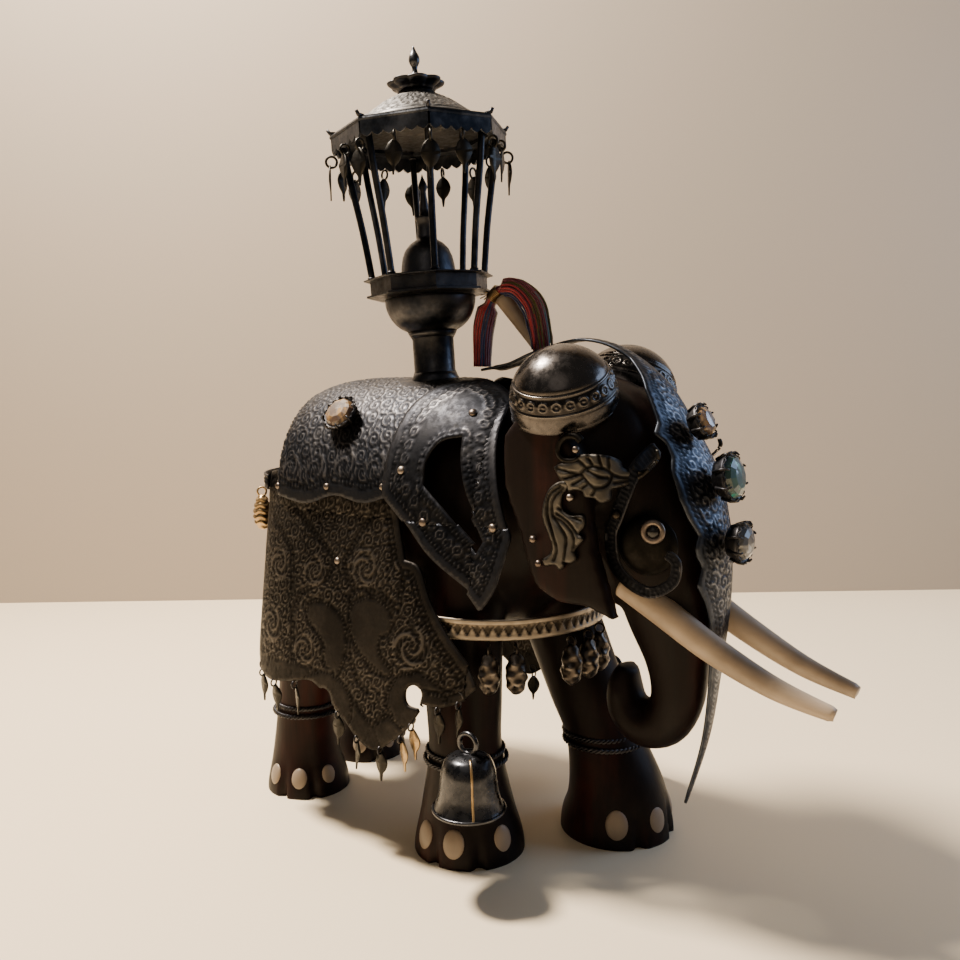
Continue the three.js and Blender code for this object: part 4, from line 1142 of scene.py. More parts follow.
def cloth_relief(points):
    outline = smooth_loop(laid_out(CLOTH_OUTLINE))
    edge, edge_along = Lines([outline], closed=True).read(points)
    y, down = points[:, 0], points[:, 1]
    height = scrollwork(points, 1.5, 6.0)
    dividers = [
        laid_out([(75.3, 113.7), (52.4, 97)]),
        laid_out([(36, 116.5), (48.6, 97)]),
        laid_out([(92, 112), (75, 98), (73, 84)]),
        laid_out([(52.4, 97), (56, 90), (68, 84), (72, 76), (70, 60)]),
        laid_out([(48.6, 97), (46, 90), (30, 87.5), (23, 84), (21, 100)]),
        laid_out([(43, 92), (44.4, 80), (43, 66), (38, 58), (33, 55)]),
    ]
    distance, along = Lines(dividers).read(points)
    height = np.where(distance < 1.5, rope(distance, along, 0.8), height)
    for centre, radius in MEDALLIONS:
        swirl, within = medallion(points, laid_out([centre])[0], radius)
        height = np.where(within, swirl, height)
    for comma in (FRONT_COMMA, REAR_COMMA):
        loop = smooth_loop(laid_out(comma), corner=80)
        distance, along = Lines([loop], closed=True).read(points)
        height = np.where(distance < 1.3, rope(distance, along, 0.7, 1.5), height)
        height = np.where(inside(loop, points) & (distance > 0.7), PLAIN, height)
    hem = down > QUARTER + TORSO_Z - 58
    arches = np.full(len(points), 99.0)
    for (cy, cz), wide, tall in (((52.8, 47.5), 12.8, 10.6), ((13.6, 55.0), 10.8, 9.4)):
        ca, cb = laid_out([(cy, cz)])[0]
        r = np.hypot((y - ca) / wide, (down - cb) / tall)
        rim = (r - 1) * min(wide, tall)
        height = np.where(
            np.abs(rim) < 1.1, rope(np.abs(rim), np.arctan2(down - cb, y - ca) * wide, 0.6, 1.4), height,
        )
        height = np.where(rim < -0.6, PLAIN, height)
        arches = np.minimum(arches, rim)
    skirt = (edge < 7.5) & hem & (arches > 0.8)
    rays = ridge((edge_along % 8.2) - 4.1, 0.28)
    height = np.where(skirt, PLAIN - 0.4 * rays, height)
    height = np.where(
        (np.abs(edge - 8.0) < 1.0) & hem & (arches > 0.8), rope(np.abs(edge - 8.0), edge_along, 0.6, 1.5),
        height,
    )
    margin = ~hem & (edge < 2.6)
    border = ~hem & (edge >= 2.6) & (edge < 5.2)
    height = np.where(border, rope(np.abs(edge - 3.9), edge_along, 1.0, 1.7), height)
    return np.where(margin | (edge < 0.7), PLAIN, height)


def saddle_relief(points):
    away = np.stack([points[:, 0], np.abs(points[:, 1])], -1)
    edge, edge_along = Lines([np.array(laid_out(SADDLE_OUTLINE))]).read(away)
    height = scrollwork(away, 1.6, 6.8)
    for centre, radius in (((36, 128), 5.2), ((50, 128), 5.4), ((64, 126.5), 5.2), ((77, 126), 4.8)):
        swirl, within = medallion(away, laid_out([centre])[0], radius)
        height = np.where(within, swirl, height)
    height = np.where(edge < 5.6, rope(np.abs(edge - 4.5), edge_along, 0.9, 1.7), height)
    stem = np.hypot(points[:, 0] - 37.4, points[:, 1] * 0.9)
    height = np.where(stem < 12, PLAIN, height)
    return np.where(edge < 3.2, PLAIN, height)


def frame_relief(points):
    outer = smooth_loop(laid_out(FRAME_OUTER), corner=38)
    inner = smooth_loop(laid_out(FRAME_INNER), corner=38)
    out_edge, out_along = Lines([outer], closed=True).read(points)
    in_edge, in_along = Lines([inner], closed=True).read(points)
    height = np.full(len(points), 0.22)
    height = np.where(out_edge < 2.6, PLAIN + 0.05, height)
    height = np.where(
        (out_edge >= 2.6) & (out_edge < 5.2), rope(np.abs(out_edge - 3.9), out_along, 0.9, 1.5), height,
    )
    height = np.where(in_edge < 1.2, PLAIN + 0.1, height)
    height = np.where(
        (in_edge >= 1.2) & (in_edge < 3.4), rope(np.abs(in_edge - 2.3), in_along, 0.8, 1.5), height,
    )
    pitch = 4.3
    middle = (out_edge > 5.0) & (in_edge > 3.2)
    spots, along = line_points(outer, closed=True)
    centres = []
    for at in np.arange(0, along[-1] - pitch * 0.6, pitch):
        k = int(np.searchsorted(along, at)) % len(spots)
        ahead = spots[(k + 2) % len(spots)] - spots[k - 2]
        normal = np.array([-ahead[1], ahead[0]]) / np.linalg.norm(ahead)
        for sign in (1, -1):
            candidate = spots[k] + sign * normal * 7.4
            if inside(outer, candidate[None])[0] and not inside(inner, candidate[None])[0]:
                centres.append(candidate)
    near = np.min(np.linalg.norm(points[:, None] - np.array(centres)[None], axis=2), axis=1)
    punched = np.maximum(ridge(near - 1.35, 0.45), ridge(near, 0.5))
    return np.where(middle & (near < 2.0), np.maximum(punched, 0.15), height)


def leaf_shape(width=6.4, length=11.5, thick=0.5):
    """A bo leaf hanging from z = 0, its face square to X, slightly dished."""
    top = -3.6
    half = [
        (0.45, top + 0.6), (width * 0.34, top - 0.9), (width * 0.5, top - length * 0.32),
        (width * 0.36, top - length * 0.56), (width * 0.13, top - length * 0.72), (0.5, top - length * 0.84),
        (0.25, top - length),
    ]
    edge = rounded(half, 4)
    loop = [(a, b) for a, b in edge] + [(-a, b) for a, b in edge[::-1]]
    bm = bmesh.new()
    chain(bm, [(0, a, b) for a, b in loop], closed=True)
    bmesh.ops.triangle_fill(bm, use_beauty=True, use_dissolve=False, edges=bm.edges[:])
    bmesh.ops.subdivide_edges(bm, edges=[e for e in bm.edges if not e.is_boundary], cuts=1)
    for vert in bm.verts:
        vert.co.x = 0.035 * vert.co.y**2
    bmesh.ops.solidify(bm, geom=bm.faces[:], thickness=thick)
    bmesh.ops.translate(bm, verts=bm.verts, vec=(thick / 2, 0, 0))
    bmesh.ops.recalc_face_normals(bm, faces=bm.faces)
    return bm


class ELEPHANT_OT_dress(bpy.types.Operator):
    """Hangs the chased side cloths, the saddle plate and the shoulder frames"""

    bl_idname = "elephant.dress"
    bl_label = "Dress"

    def execute(self, context):
        sizes = context.scene.elephant_sizes
        for side, sign in SIDES:
            loops = [smooth_loop(laid_out(CLOTH_OUTLINE))]
            loops += [
                smooth_loop(laid_out(slot_outline), 1.0, 80) for slot_outline in (FRONT_SLOT, REAR_SLOT)
            ]
            cloth = chased_sheet(loops, dress_surface(sign, CLOTH_LIFT + 0.9), cloth_relief, sizes)
            # the side cloths take the copy of the sheet that has the shade painted into it
            settle(cloth, "chased_cloth_" + side, finish("shaded_cloth_metal"), replaces=("side_cloth_" + side,))

            frame_loops = [
                smooth_loop(laid_out(FRAME_OUTER), corner=38), smooth_loop(laid_out(FRAME_INNER), corner=38),
            ]
            plate = chased_sheet(frame_loops, dress_surface(sign, FRAME_LIFT + 0.9), frame_relief, sizes)
            settle(
                plate, "chased_frame_" + side, finish("chased_metal"), replaces=("shoulder_frame_" + side,),
            )

            rivets = []
            for y, z in FRAME_RIVETS:
                at, out = on_dress(sign, FRAME_LIFT + 1.1, y, z)
                rivets.append(moved(dome(1.45, 0.9), facing(at, out)))
            for y, z, lift in (
                (51.9, 96.5, CLOTH_LIFT), (57.7, 121.6, SADDLE_LIFT), (84, 120, SADDLE_LIFT),
                (32, 123, SADDLE_LIFT),
            ):
                at, out = on_dress(sign, lift + 1.1, y, z)
                rivets.append(moved(dome(1.25, 0.8), facing(at, out)))
            settle(together(rivets), "dress_rivets_" + side, finish("rivet_metal"))

            hooks, plain, gilt = [], [], []
            for index, (y, z) in enumerate(HOOKS):
                at, out = on_dress(sign, CLOTH_LIFT + 0.5, y, z + 1.4)
                eye = [at + p for p in circle_points(1.5, 14, "x", (0, 0, -0.9))]
                hooks.append(wire(eye, 0.4, 6, closed=True))
                low = at + Vector((sign * 0.4, 0, -3.6))
                eye = [low + p for p in circle_points(1.3, 12, "y")]
                hooks.append(wire(eye, 0.32, 6, closed=True))
                size = (5.4, 5.9, 5.1)[index % 3]
                twist = Matrix.Rotation(0.3 * math.sin(2.7 * index) + 0.3 * sign, 4, "Z")
                sway = Matrix.Rotation(0.10 * math.sin(5.1 * index), 4, "X")
                leaf = moved(leaf_shape(size, 9.6), twist)
                leaf = moved(leaf, Matrix.Translation(low + Vector((0, 0, 2.2))) @ sway)
                (gilt if index in (6, 7) else plain).append(leaf)
            tip, out = on_dress(sign, CLOTH_LIFT + 0.5, -5.6, 64.2)
            low = tip + Vector((-sign * 0.2, 0.7, -1.6))
            hooks.append(wire([low + p for p in circle_points(1.4, 16, "x")], 0.45, 6, closed=True))
            settle(together(hooks), "hem_hooks_" + side, finish("wire_metal"))
            settle(together(plain), "hem_leaves_" + side, finish("leaf_metal"))
            settle(together(gilt), "gilt_leaves_" + side, finish("gold_seam"))

        skirt = laid_out(SADDLE_OUTLINE)
        across = [(y, -d) for y, d in skirt] + [(19, -14), (17, 0), (19, 14)] + [
            (y, d) for y, d in skirt[::-1]
        ] + [(87, 16), (88, 0), (87, -16)]
        saddle = chased_sheet(
            [smooth_loop(across)], dress_surface(1, SADDLE_LIFT + 0.9), saddle_relief, sizes,
        )
        settle(saddle, "chased_saddle", finish("chased_metal"), replaces=("saddle_plate",))
        return {"FINISHED"}


# ------------------------------------------------------------------ head dress
PLANE_PULL = (0.504, -0.087)  # how far a sunk side sheet moves back and down, per millimetre of sinking
FACE_LINE = [
    (13, 161.6), (2, 163.5), (-9.5, 167.5), (-24, 170.5), (-38, 167), (-50, 157), (-60.5, 141), (-67.4, 128),
    (-70, 118), (-71.6, 107), (-71.6, 88), (-69.6, 66), (-66.6, 46), (-60.2, 24),
]
FACE_HALVES = [  # height on the face, half width
    (165, 3.2), (160, 6.5), (156, 9.2), (150, 11), (145, 11.8), (142, 15), (139, 12.8), (136, 13.4),
    (131, 15.6), (124, 16), (118, 14.4), (113, 11.8), (110, 13.4), (107, 13), (104.5, 11.2), (99, 13),
    (93, 9.6), (88, 8.2), (84, 6.6), (77, 5.4), (64, 3.8), (47, 2.4), (30, 1.2), (25, 0.5),
]
BACK_HALVES = [(13, 6), (10, 6.4), (4, 5), (-6, 6), (-12, 4), (-20, 2.8), (-34, 2.8)]
BROW = (
    ("top", -62.2, 144.4, 5.8, 4.2, "amber_glass", 0.42),
    ("middle", -70.6, 128.8, 7.8, 4.6, "green_glass", 0.16),
    ("bottom", -74.4, 110.0, 6.5, 4.6, "clear_glass", 0.0),
)
BOSS_RADIUS, BOSS_WALL, BOSS_REACH = 16.8, 1.0, 1.75
BOSS_OUT, BOSS_FORWARD = 0.45, 0.08
CHEEK_BAND = [
    (-62.6, 139.5), (-55.4, 132.6), (-49.6, 119), (-47.6, 112.7), (-50, 103), (-59.2, 97.6), (-67, 101),
    (-68.5, 107), (-65.5, 109.4),
]
LOWER_FROND = [
    (-37.4, 129.7), (-34.0, 128.7), (-31.1, 125.7), (-29.7, 121.2), (-30.0, 116.8), (-31.8, 113.0),
    (-32.9, 110.3), (-31.9, 107.4), (-29.6, 105.5), (-30.6, 103.6), (-33.8, 104.3), (-35.4, 102.5),
    (-37.0, 104.4), (-36.7, 105.7), (-39.2, 105.4), (-41.1, 107.0), (-40.5, 109.4), (-42.7, 111.8),
    (-43.6, 113.3), (-42.0, 114.5), (-43.6, 116.8), (-43.6, 119.5), (-41.7, 119.9), (-39.6, 119.5),
    (-36.8, 120.9), (-36.1, 123.3), (-36.8, 126.1), (-38.7, 128.4),
]
LOWER_VEINS = [
    [(-35.9, 128.2), (-32.0, 124.7), (-31.5, 119.1), (-33.2, 114.3), (-34.5, 109.4), (-33.2, 105.3)],
    [(-36.8, 127.7), (-33.3, 123.7), (-33.3, 119.2), (-35.8, 116.1), (-37.7, 112.5), (-37.0, 105.7)],
    [(-33.9, 118.7), (-37.1, 117.4), (-40.2, 113.8), (-40.2, 108.8)],
    [(-34.5, 119.9), (-38.3, 118.0), (-42.0, 114.0)], [(-35.2, 121.6), (-38.3, 119.7), (-42.7, 118.4)],
]
UPPER_FROND = [
    (-33.3, 133.5), (-36.8, 135.1), (-41.2, 135.8), (-42.1, 137.2), (-44.2, 137.9), (-48.1, 137.9),
    (-52.3, 137.5), (-55.2, 136.1), (-56.1, 134.4), (-59.2, 133.4), (-63.2, 134.1), (-66.5, 137.3),
    (-66.2, 139.8), (-67.1, 140.3), (-67.6, 137.3), (-63.7, 132.8), (-59.2, 129.9), (-54.6, 128.3),
    (-52.6, 127.8), (-52.3, 125.0), (-49.3, 124.0), (-46.9, 125.2), (-44.2, 125.4), (-43.3, 127.0),
    (-40.8, 127.3), (-38.4, 126.6), (-37.7, 128.8), (-35.5, 130.4),
]
UPPER_VEINS = [
    [(-42.7, 132.4), (-45.1, 134.1), (-49.9, 134.1), (-52.9, 132.4)],
    [(-52.9, 132.4), (-51.1, 129.2), (-46.9, 128.6), (-42.7, 132.1)],
    [(-34.0, 133.3), (-40.2, 132.3), (-42.7, 132.1)], [(-36.5, 130.4), (-39.6, 131.2), (-42.1, 131.9)],
    [(-52.9, 132.2), (-58.1, 131.4), (-63.7, 133.6)], [(-53.5, 129.8), (-58.1, 130.6), (-60.4, 131.4)],
    [(-42.1, 136.1), (-43.3, 135.1), (-44.5, 134.1)], [(-45.1, 136.8), (-46.0, 135.7), (-46.9, 134.5)],
    [(-48.7, 137.0), (-49.2, 135.7), (-49.6, 134.4)], [(-51.7, 136.6), (-51.8, 135.3), (-51.7, 134.0)],
    [(-40.2, 129.0), (-41.8, 129.9), (-43.3, 130.8)], [(-42.7, 127.6), (-43.9, 128.5), (-45.1, 129.3)],
    [(-46.3, 126.2), (-47.1, 127.3), (-47.5, 128.4)], [(-45.1, 133.1), (-48.7, 131.7), (-51.7, 131.3)],
]
LEAF_CURL = [
    (-42.7, 141.5), (-40.9, 142.8), (-37.8, 142.7), (-35.6, 140.7), (-35.0, 138.0), (-36.8, 135.9),
    (-40.2, 135.8), (-42.7, 137.2),
]
LEAF_RIVETS = [(-41.0, 139.0), (-39.0, 124.9), (-28.0, 104.1), (-26.1, 111.3)]


class Track:
    """A line in (y, z) read by the distance along it."""

    def __init__(self, points):
        self.points = rounded(points, 10)
        steps = np.linalg.norm(np.diff(self.points, axis=0), axis=1)
        self.along = np.concatenate([[0], np.cumsum(steps)])

    def at(self, distance):
        return np.stack([np.interp(distance, self.along, self.points[:, k]) for k in range(2)], -1)

    def normal(self, distance):
        tangent = self.at(distance + 0.6) - self.at(distance - 0.6)
        tangent /= np.linalg.norm(tangent, axis=-1, keepdims=True)
        return np.stack([tangent[..., 1], -tangent[..., 0]], -1)


def face_halves(track):
    """The face plate's half width at points along its line, as (distance, half)."""
    out = []
    for y, half in BACK_HALVES:
        k = int(np.argmin(np.abs(track.points[:, 0] - y)))
        out.append((track.along[k], half))
    crown = int(np.argmax(track.points[:, 1]))
    for z, half in FACE_HALVES:
        k = crown + int(np.argmin(np.abs(track.points[crown:, 1] - z)))
        out.append((track.along[k], half))
    return sorted(out)


def face_surface(track):
    def surface(a, b):
        spot, normal = track.at(a), track.normal(a)
        front = smoothstep(-spot[:, 0], 38, 60)
        bend = b**2 / 60
        y = spot[:, 0] + bend * front
        z = spot[:, 1] - bend * (1 - front)
        tilt = 2 * b / 60
        out = np.stack([tilt, normal[:, 0], normal[:, 1]], -1)
        out *= np.sign((out * np.stack([0 * b, -front, 1 - front * 0.5], -1)).sum(1))[:, None]
        out[:, 0] = tilt
        out /= np.linalg.norm(out, axis=1, keepdims=True)
        return np.stack([b, y, z], -1) + out * 0.9, out

    return surface


def strip_outline(points, width):
    """The outline of a strip along a line in (y, z), with its width at each share of its length."""
    track = Track(points)
    at = np.linspace(0, track.along[-1], 60)
    spot, normal = track.at(at), track.normal(at)
    half = np.array([width(t) / 2 for t in np.linspace(0, 1, 60)])[:, None]
    return np.vstack([spot + normal * half, (spot - normal * half)[::-1]])


def collet(radius, height):
    """A cup with eight claws bent over its stone."""
    bore = radius - 0.8
    cup = [
        (0, 0), (radius * 0.7, 0), (radius * 0.78, height * 0.3), (radius * 0.93, height * 0.75),
        (radius * 0.96, height), (bore, height), (bore * 0.82, height * 0.5), (0, height * 0.4),
    ]
    parts = [turned(cup, 40)]
    for i in range(8):
        a = 2 * math.pi * (i + 0.5) / 8
        out = around(1, a)
        bends = (
            (0.8, height * 0.2), (0.97, height * 0.8), (0.99, height + 0.5), (0.86, height + radius * 0.2),
        )
        line = [out * radius * r + Vector((0, 0, z)) for r, z in bends]
        parts.append(wire(line, 0.5, 6, taper=lambda t: 1.15 - 0.5 * t))
    rim = [
        Vector(
            (math.cos(a) * radius * 0.96, math.sin(a) * radius * 0.96, height + 0.15 + 0.3 * math.cos(16 * a))
        ) for a in np.linspace(0, 2 * math.pi, 96, endpoint=False)
    ]
    parts.append(wire(rim, 0.25, 5, closed=True))
    return together(parts)


def stone(radius, height):
    """A round cut stone: a girdle, a ring of facets and a table."""
    girdle = radius - 1.1
    profile = [
        (0, height * 0.4 + 0.3), (girdle * 0.7, height * 0.62), (girdle, height),
        (girdle * 0.86, height + radius * 0.18), (girdle * 0.56, height + radius * 0.3),
        (0, height + radius * 0.33),
    ]
    return turned(profile, 10)


def flat_shaded(piece):
    piece.data.shade_flat()
    return piece


class ELEPHANT_OT_head_dress(bpy.types.Operator):
    """Dresses the head: the bosses, the face plate with its stones, the ear leaves and the cheek bands"""

    bl_idname = "elephant.head_dress"
    bl_label = "Head dress"

    def execute(self, context):
        sizes = context.scene.elephant_sizes
        track = Track(FACE_LINE)
        halves = np.array(face_halves(track))
        at = np.arange(0.2, track.along[-1] - 0.2, 0.6)
        half = np.interp(at, halves[:, 0], halves[:, 1])
        loop = np.vstack([np.stack([at, half], -1), np.stack([at, -half], -1)[::-1]])

        def relief(points):
            wide = np.interp(points[:, 0], halves[:, 0], halves[:, 1])
            edge, _ = Lines([loop], closed=True).read(points)
            a, b = points[:, 0], np.abs(points[:, 1])
            height = scrollwork(points, 1.9, 5.8)
            bone = 0.5 + 0.5 * np.cos(2 * math.pi * (a + b * 0.9) / 1.7)
            band = (edge > 2.2) & (edge < 4.6)
            height = np.where(band, rope(np.abs(edge - 3.4), a + b * 0.6, 1.0, 1.5), height)
            narrow = (wide < 6.2) & (edge > 0.8)
            height = np.where(narrow, bone * ridge(b, wide * 0.6) + 0.25, height)
            plain = (edge <= 2.2) & (wide >= 6.2) | (edge <= 0.8)
            return np.where(plain, PLAIN, height)

        plate = chased_sheet([loop], face_surface(track), relief, sizes)
        # the face plate takes the copy of the sheet that has the cool light painted into it
        settle(plate, "chased_face_plate", finish("lit_plate_metal"), replaces=("face_plate",))

        for name, y, z, radius, height, glass, rise in BROW:
            frame_ = facing((0, y, z), (0, -1, rise))
            settle(
                moved(collet(radius, height), frame_), "brow_collet_" + name, finish("wire_metal"),
                replaces=("brow_setting_" + name,),
            )
            gem = settle(
                moved(stone(radius, height), frame_), "brow_gem_" + name,
                finish(glass.replace("glass", "gem")), replaces=("brow_stone_" + name,),
            )
            flat_shaded(gem)

        for side, sign in SIDES:
            turn = Matrix.Translation((sign * SKULL[0], SKULL[1], SKULL[2]))
            turn = turn @ Matrix.Rotation(sign * BOSS_OUT, 4, "Y") @ Matrix.Rotation(BOSS_FORWARD, 4, "X")
            polar = np.concatenate(
                [np.linspace(0, 1.02, 14), np.linspace(1.04, 1.44, 26), np.linspace(1.47, BOSS_REACH, 10)]
            )
            outer = [(BOSS_RADIUS * math.sin(p), BOSS_RADIUS * math.cos(p)) for p in polar]
            outer[-1] = (outer[-1][0] + 0.5, outer[-1][1])
            hollow = BOSS_RADIUS - BOSS_WALL
            inner = [(hollow * math.sin(p), hollow * math.cos(p)) for p in polar[::-2]]
            inner[-1] = (0, hollow)
            boss = turned(outer + inner, 224)
            chase = boss.verts.layers.float.new("chase")
            for vert in boss.verts:
                r = vert.co.length
                vert[chase] = 0.6
                if r < BOSS_RADIUS - 0.3:
                    continue
                p = math.acos(max(-1, min(1, vert.co.z / r)))
                a = math.atan2(vert.co.y, vert.co.x)
                if 1.03 < p < 1.46:
                    count = 24
                    share = (a / (2 * math.pi) * count) % 1 - 0.5
                    across = share * 2 * math.pi * BOSS_RADIUS * math.sin(p) / count
                    spot = math.hypot(across, (p - 1.245) * BOSS_RADIUS)
                    ring = max(0, 1 - ((spot - 1.35) / 0.42) ** 2, 1 - (spot / 0.45) ** 2)
                    border = max(max(0, 1 - ((p - q) * BOSS_RADIUS / 0.42) ** 2) for q in (1.07, 1.42))
                    lift = max(ring, border)
                    vert[chase] = 0.12 + 0.88 * lift
                    vert.co *= 1 + (0.45 * lift - 0.35) / r
            settle(
                moved(boss, turn), "head_dome_" + side, finish("boss_metal"),
                replaces=("head_boss_" + side,),
            )

            plane = sign * (EAR_X + EAR_THICK + 0.4)

            def flat(a, b, level=plane, sign=sign):
                out = np.zeros((len(a), 3))
                out[:, 0] = sign
                dish = 0.25 * np.sin(a * 0.7) * np.cos(b * 0.5)
                sink = 11 * smoothstep(-a, 47, 62)
                return np.stack(
                    [
                        level + sign * (0.8 + dish - sink),
                        a + PLANE_PULL[0] * sink,
                        b + PLANE_PULL[1] * sink,
                    ], -1,
                ), out

            fronds = []
            for outline, veins in ((LOWER_FROND, LOWER_VEINS), (UPPER_FROND, UPPER_VEINS)):
                loop_ = smooth_loop(outline, 0.4, 95)
                grooves = Lines([Track(v).points for v in veins])
                rim = Lines([loop_], closed=True)

                def fluting(points, grooves=grooves, rim=rim):
                    near, _ = grooves.read(points)
                    edge, _ = rim.read(points)
                    return np.minimum(smoothstep(near, 0.1, 0.75), 0.35 + 0.65 * smoothstep(edge, 0, 0.7))

                fronds.append(chased_sheet([loop_], flat, fluting, sizes, 0.42))
            curl = [(plane + sign * 0.6, y, z) for y, z in rounded(LEAF_CURL, 6)]
            fronds.append(wire(curl, 1.15, 8, taper=lambda t: 1.1 - 0.5 * t))
            settle(
                together(fronds), "acanthus_" + side, finish("acanthus_metal"),
                replaces=("ear_leaf_" + side,),
            )
            seats = [facing((plane + sign * 0.9, y, z), (sign, 0, 0)) for y, z in LEAF_RIVETS]
            studs = [moved(dome(1.15, 0.9), seat) for seat in seats]
            settle(together(studs), "ear_studs_" + side, finish("rivet_metal"))

            cheek = Track(CHEEK_BAND)
            band = strip_outline(CHEEK_BAND, lambda t: 4.6 - 1.6 * t)

            def blocks(points, cheek=cheek, band=band):
                edge, _ = Lines([band], closed=True).read(points)
                _, along = Lines([cheek.points]).read(points)
                middle = 0.3 + 0.7 * (np.cos(2 * math.pi * along / 1.5) > -0.2)
                return np.where(edge < 0.6, 0.8, np.where(edge < 1.0, 0.1, middle * 0.55))

            def cheek_plane(a, b, level=sign * 25.3, sign=sign):
                out = np.zeros((len(a), 3))
                out[:, 0] = sign
                sink = 9 * smoothstep(-a, 53, 64) * smoothstep(b, 118, 128)
                point = [level - sign * sink, a + PLANE_PULL[0] * sink, b + PLANE_PULL[1] * sink]
                return np.stack(point, -1), out

            settle(
                chased_sheet([band], cheek_plane, blocks, sizes, 0.45), "cheek_band_" + side,
                finish("chased_metal"), replaces=("cheek_scroll_" + side,),
            )
            disc = rounded([(0, 0.9), (4, 0.8), (7, 0.2), (8.4, -0.8), (8.2, -1.4), (0, -1.2)], 3)
            disc[0][0] = disc[-1][0] = 0
            settle(
                moved(turned(disc, 48), facing((sign * 22.6, -58.0, 110.5), (sign, -0.25, 0))),
                "eye_disc_" + side, finish("acanthus_metal"),
            )
            eye = wire(circle_points(2.7, 32), 0.95, 8, closed=True, squeeze=(Vector((0, 0, 1)), 0.6))
            eye_at = facing((sign * 23.9, -60.5, 115.2), (sign, -0.3, 0.05))
            settle(moved(eye, eye_at), "eye_ring_" + side, finish("rivet_metal"))
            settle(
                moved(dome(1.9, 1.3, 20), eye_at), "eye_pupil_" + side, finish("wood_black"),
            )
            knob = moved(dome(1.5, 1.3), facing((sign * 25.9, -49.6, 119.6), (sign, 0, 0)))
            settle(knob, "cheek_stud_" + side, finish("band_metal"))
        for side, sign in SIDES:
            seat = Vector(dress_point(sign, 57.0, QUARTER / 2))
            out = Vector((seat.x / TORSO_WIDTH**2, 0, (seat.z - TORSO_Z) / TORSO_HEIGHT**2)).normalized()
            frame_ = facing(seat + out * (SADDLE_LIFT + 1.85), out)
            settle(
                moved(collet(6.9, 3.2), frame_), "saddle_collet_" + side, finish("wire_metal"),
                replaces=("saddle_setting_" + side,),
            )
            gem = settle(
                moved(stone(6.9, 3.2), frame_), "saddle_gem_" + side, finish("amber_gem"),
                replaces=("saddle_stone_" + side,),
            )
            flat_shaded(gem)
        return {"FINISHED"}


# ------------------------------------------------------------------ chest band, beads and bells
BAND_WIDTH, BAND_DEPTH, BAND_Y, BAND_LOW, BAND_HIGH = 36.5, 35.0, 10.0, 76.4, 83.4
BEAD_RING, BEAD_WIRE = 1.7, 0.5
CHEST_BEAD_ANGLES = (-60, -46.5, -15, -1, 13, 62)
BELL_X, BELL_Y, BELL_MOUTH, BELL_BODY, BELL_LOOP = 47.0, -10.0, 27.0, 18.0, 3.2
BAND_BEND = 36.0  # millimetres of the flat chest band to one radian round the chest
REAR_LIFT, REAR_REACH, REAR_LOW, REAR_HIGH = 3.6, 31.0, 118.5, 124.0
REAR_HALF = 44.0  # half the length of the flat rear strap


def chest_surface(a, b):
    angle = a / BAND_BEND
    point = np.stack([BAND_WIDTH * np.sin(angle), BAND_Y - BAND_DEPTH * np.cos(angle), b], -1)
    normal = np.stack([np.sin(angle) / BAND_WIDTH, -np.cos(angle) / BAND_DEPTH, 0 * a], -1)
    normal /= np.linalg.norm(normal, axis=1, keepdims=True)
    return point + normal * 0.9, normal


def chest_relief(points):
    a, b = points[:, 0], (points[:, 1] - BAND_LOW) / (BAND_HIGH - BAND_LOW)
    zig = np.abs((a / 3.3) % 1 * 2 - 1)
    tooth = (b - 0.26) / 0.48
    height = np.where(tooth < zig, 0.85, 0.0)
    height = np.where(np.abs(tooth - zig) < 0.14, 0.0, height)
    lower = np.abs((a / 3.3 + 0.5) % 1 * 2 - 1)
    height = np.where((tooth > zig) & (tooth > lower * 0.4 + 0.62), 0.55, height)
    return np.where((b < 0.24) | (b > 0.78), 1.0, height)


def bead_shape(gilt=False):
    """A cast lump with winding ridges, hanging from z = 0 by its ring."""
    top = -BEAD_RING * 2 - BEAD_WIRE + 1.2
    shape = [
        (0, 0), (1.4, -0.5), (2.5, -2.4), (3.3, -5.4), (3.6, -8.4), (3.0, -11.4), (1.6, -13.4), (0, -14.1),
    ]
    profile = rounded(shape, 6)
    profile[:, 1] += top
    profile[0][0] = profile[-1][0] = 0
    bm = turned(profile, 44)
    chase = bm.verts.layers.float.new("chase")
    for vert in bm.verts:
        angle, z = math.atan2(vert.co.y, vert.co.x), vert.co.z
        if gilt:
            wave = math.cos(2 * math.pi * z / 2.3 + 1.2 * math.sin(4 * angle))
        else:
            wave = math.cos(3 * angle + 1.1 * z) * 0.7 + 0.5 * math.sin(2 * angle - 1.9 * z)
        share = 0.95 + 0.1 * wave
        vert.co.x *= share
        vert.co.y *= share
        vert[chase] = min(1, max(0, 0.56 + 0.3 * wave))
    ring = wire(circle_points(BEAD_RING, 20, "x", (0, 0, -BEAD_RING)), BEAD_WIRE - 0.1, 8, closed=True)
    ring.verts.layers.float.new("chase")
    return together([bm, ring])


def hung(bm, place, angle):
    return moved(bm, Matrix.Translation(place) @ Matrix.Rotation(angle, 4, "Z"))


def rump_point(x):
    share = np.minimum(1, np.abs(x) / (TORSO_WIDTH + REAR_LIFT))
    t = (1 - share**2.2) ** 0.25
    return TORSO_Y + (TORSO_LENGTH + REAR_LIFT) * t


def rear_surface(a, b):
    x = REAR_REACH * np.sin(a / REAR_HALF * math.pi / 2)
    y = rump_point(x)
    slope = (rump_point(x + 0.05) - rump_point(x - 0.05)) / 0.1
    normal = np.stack([-slope, np.ones_like(slope), 0 * slope], -1)
    normal /= np.linalg.norm(normal, axis=1, keepdims=True)
    return np.stack([x, y, b], -1) + normal * 0.8, normal


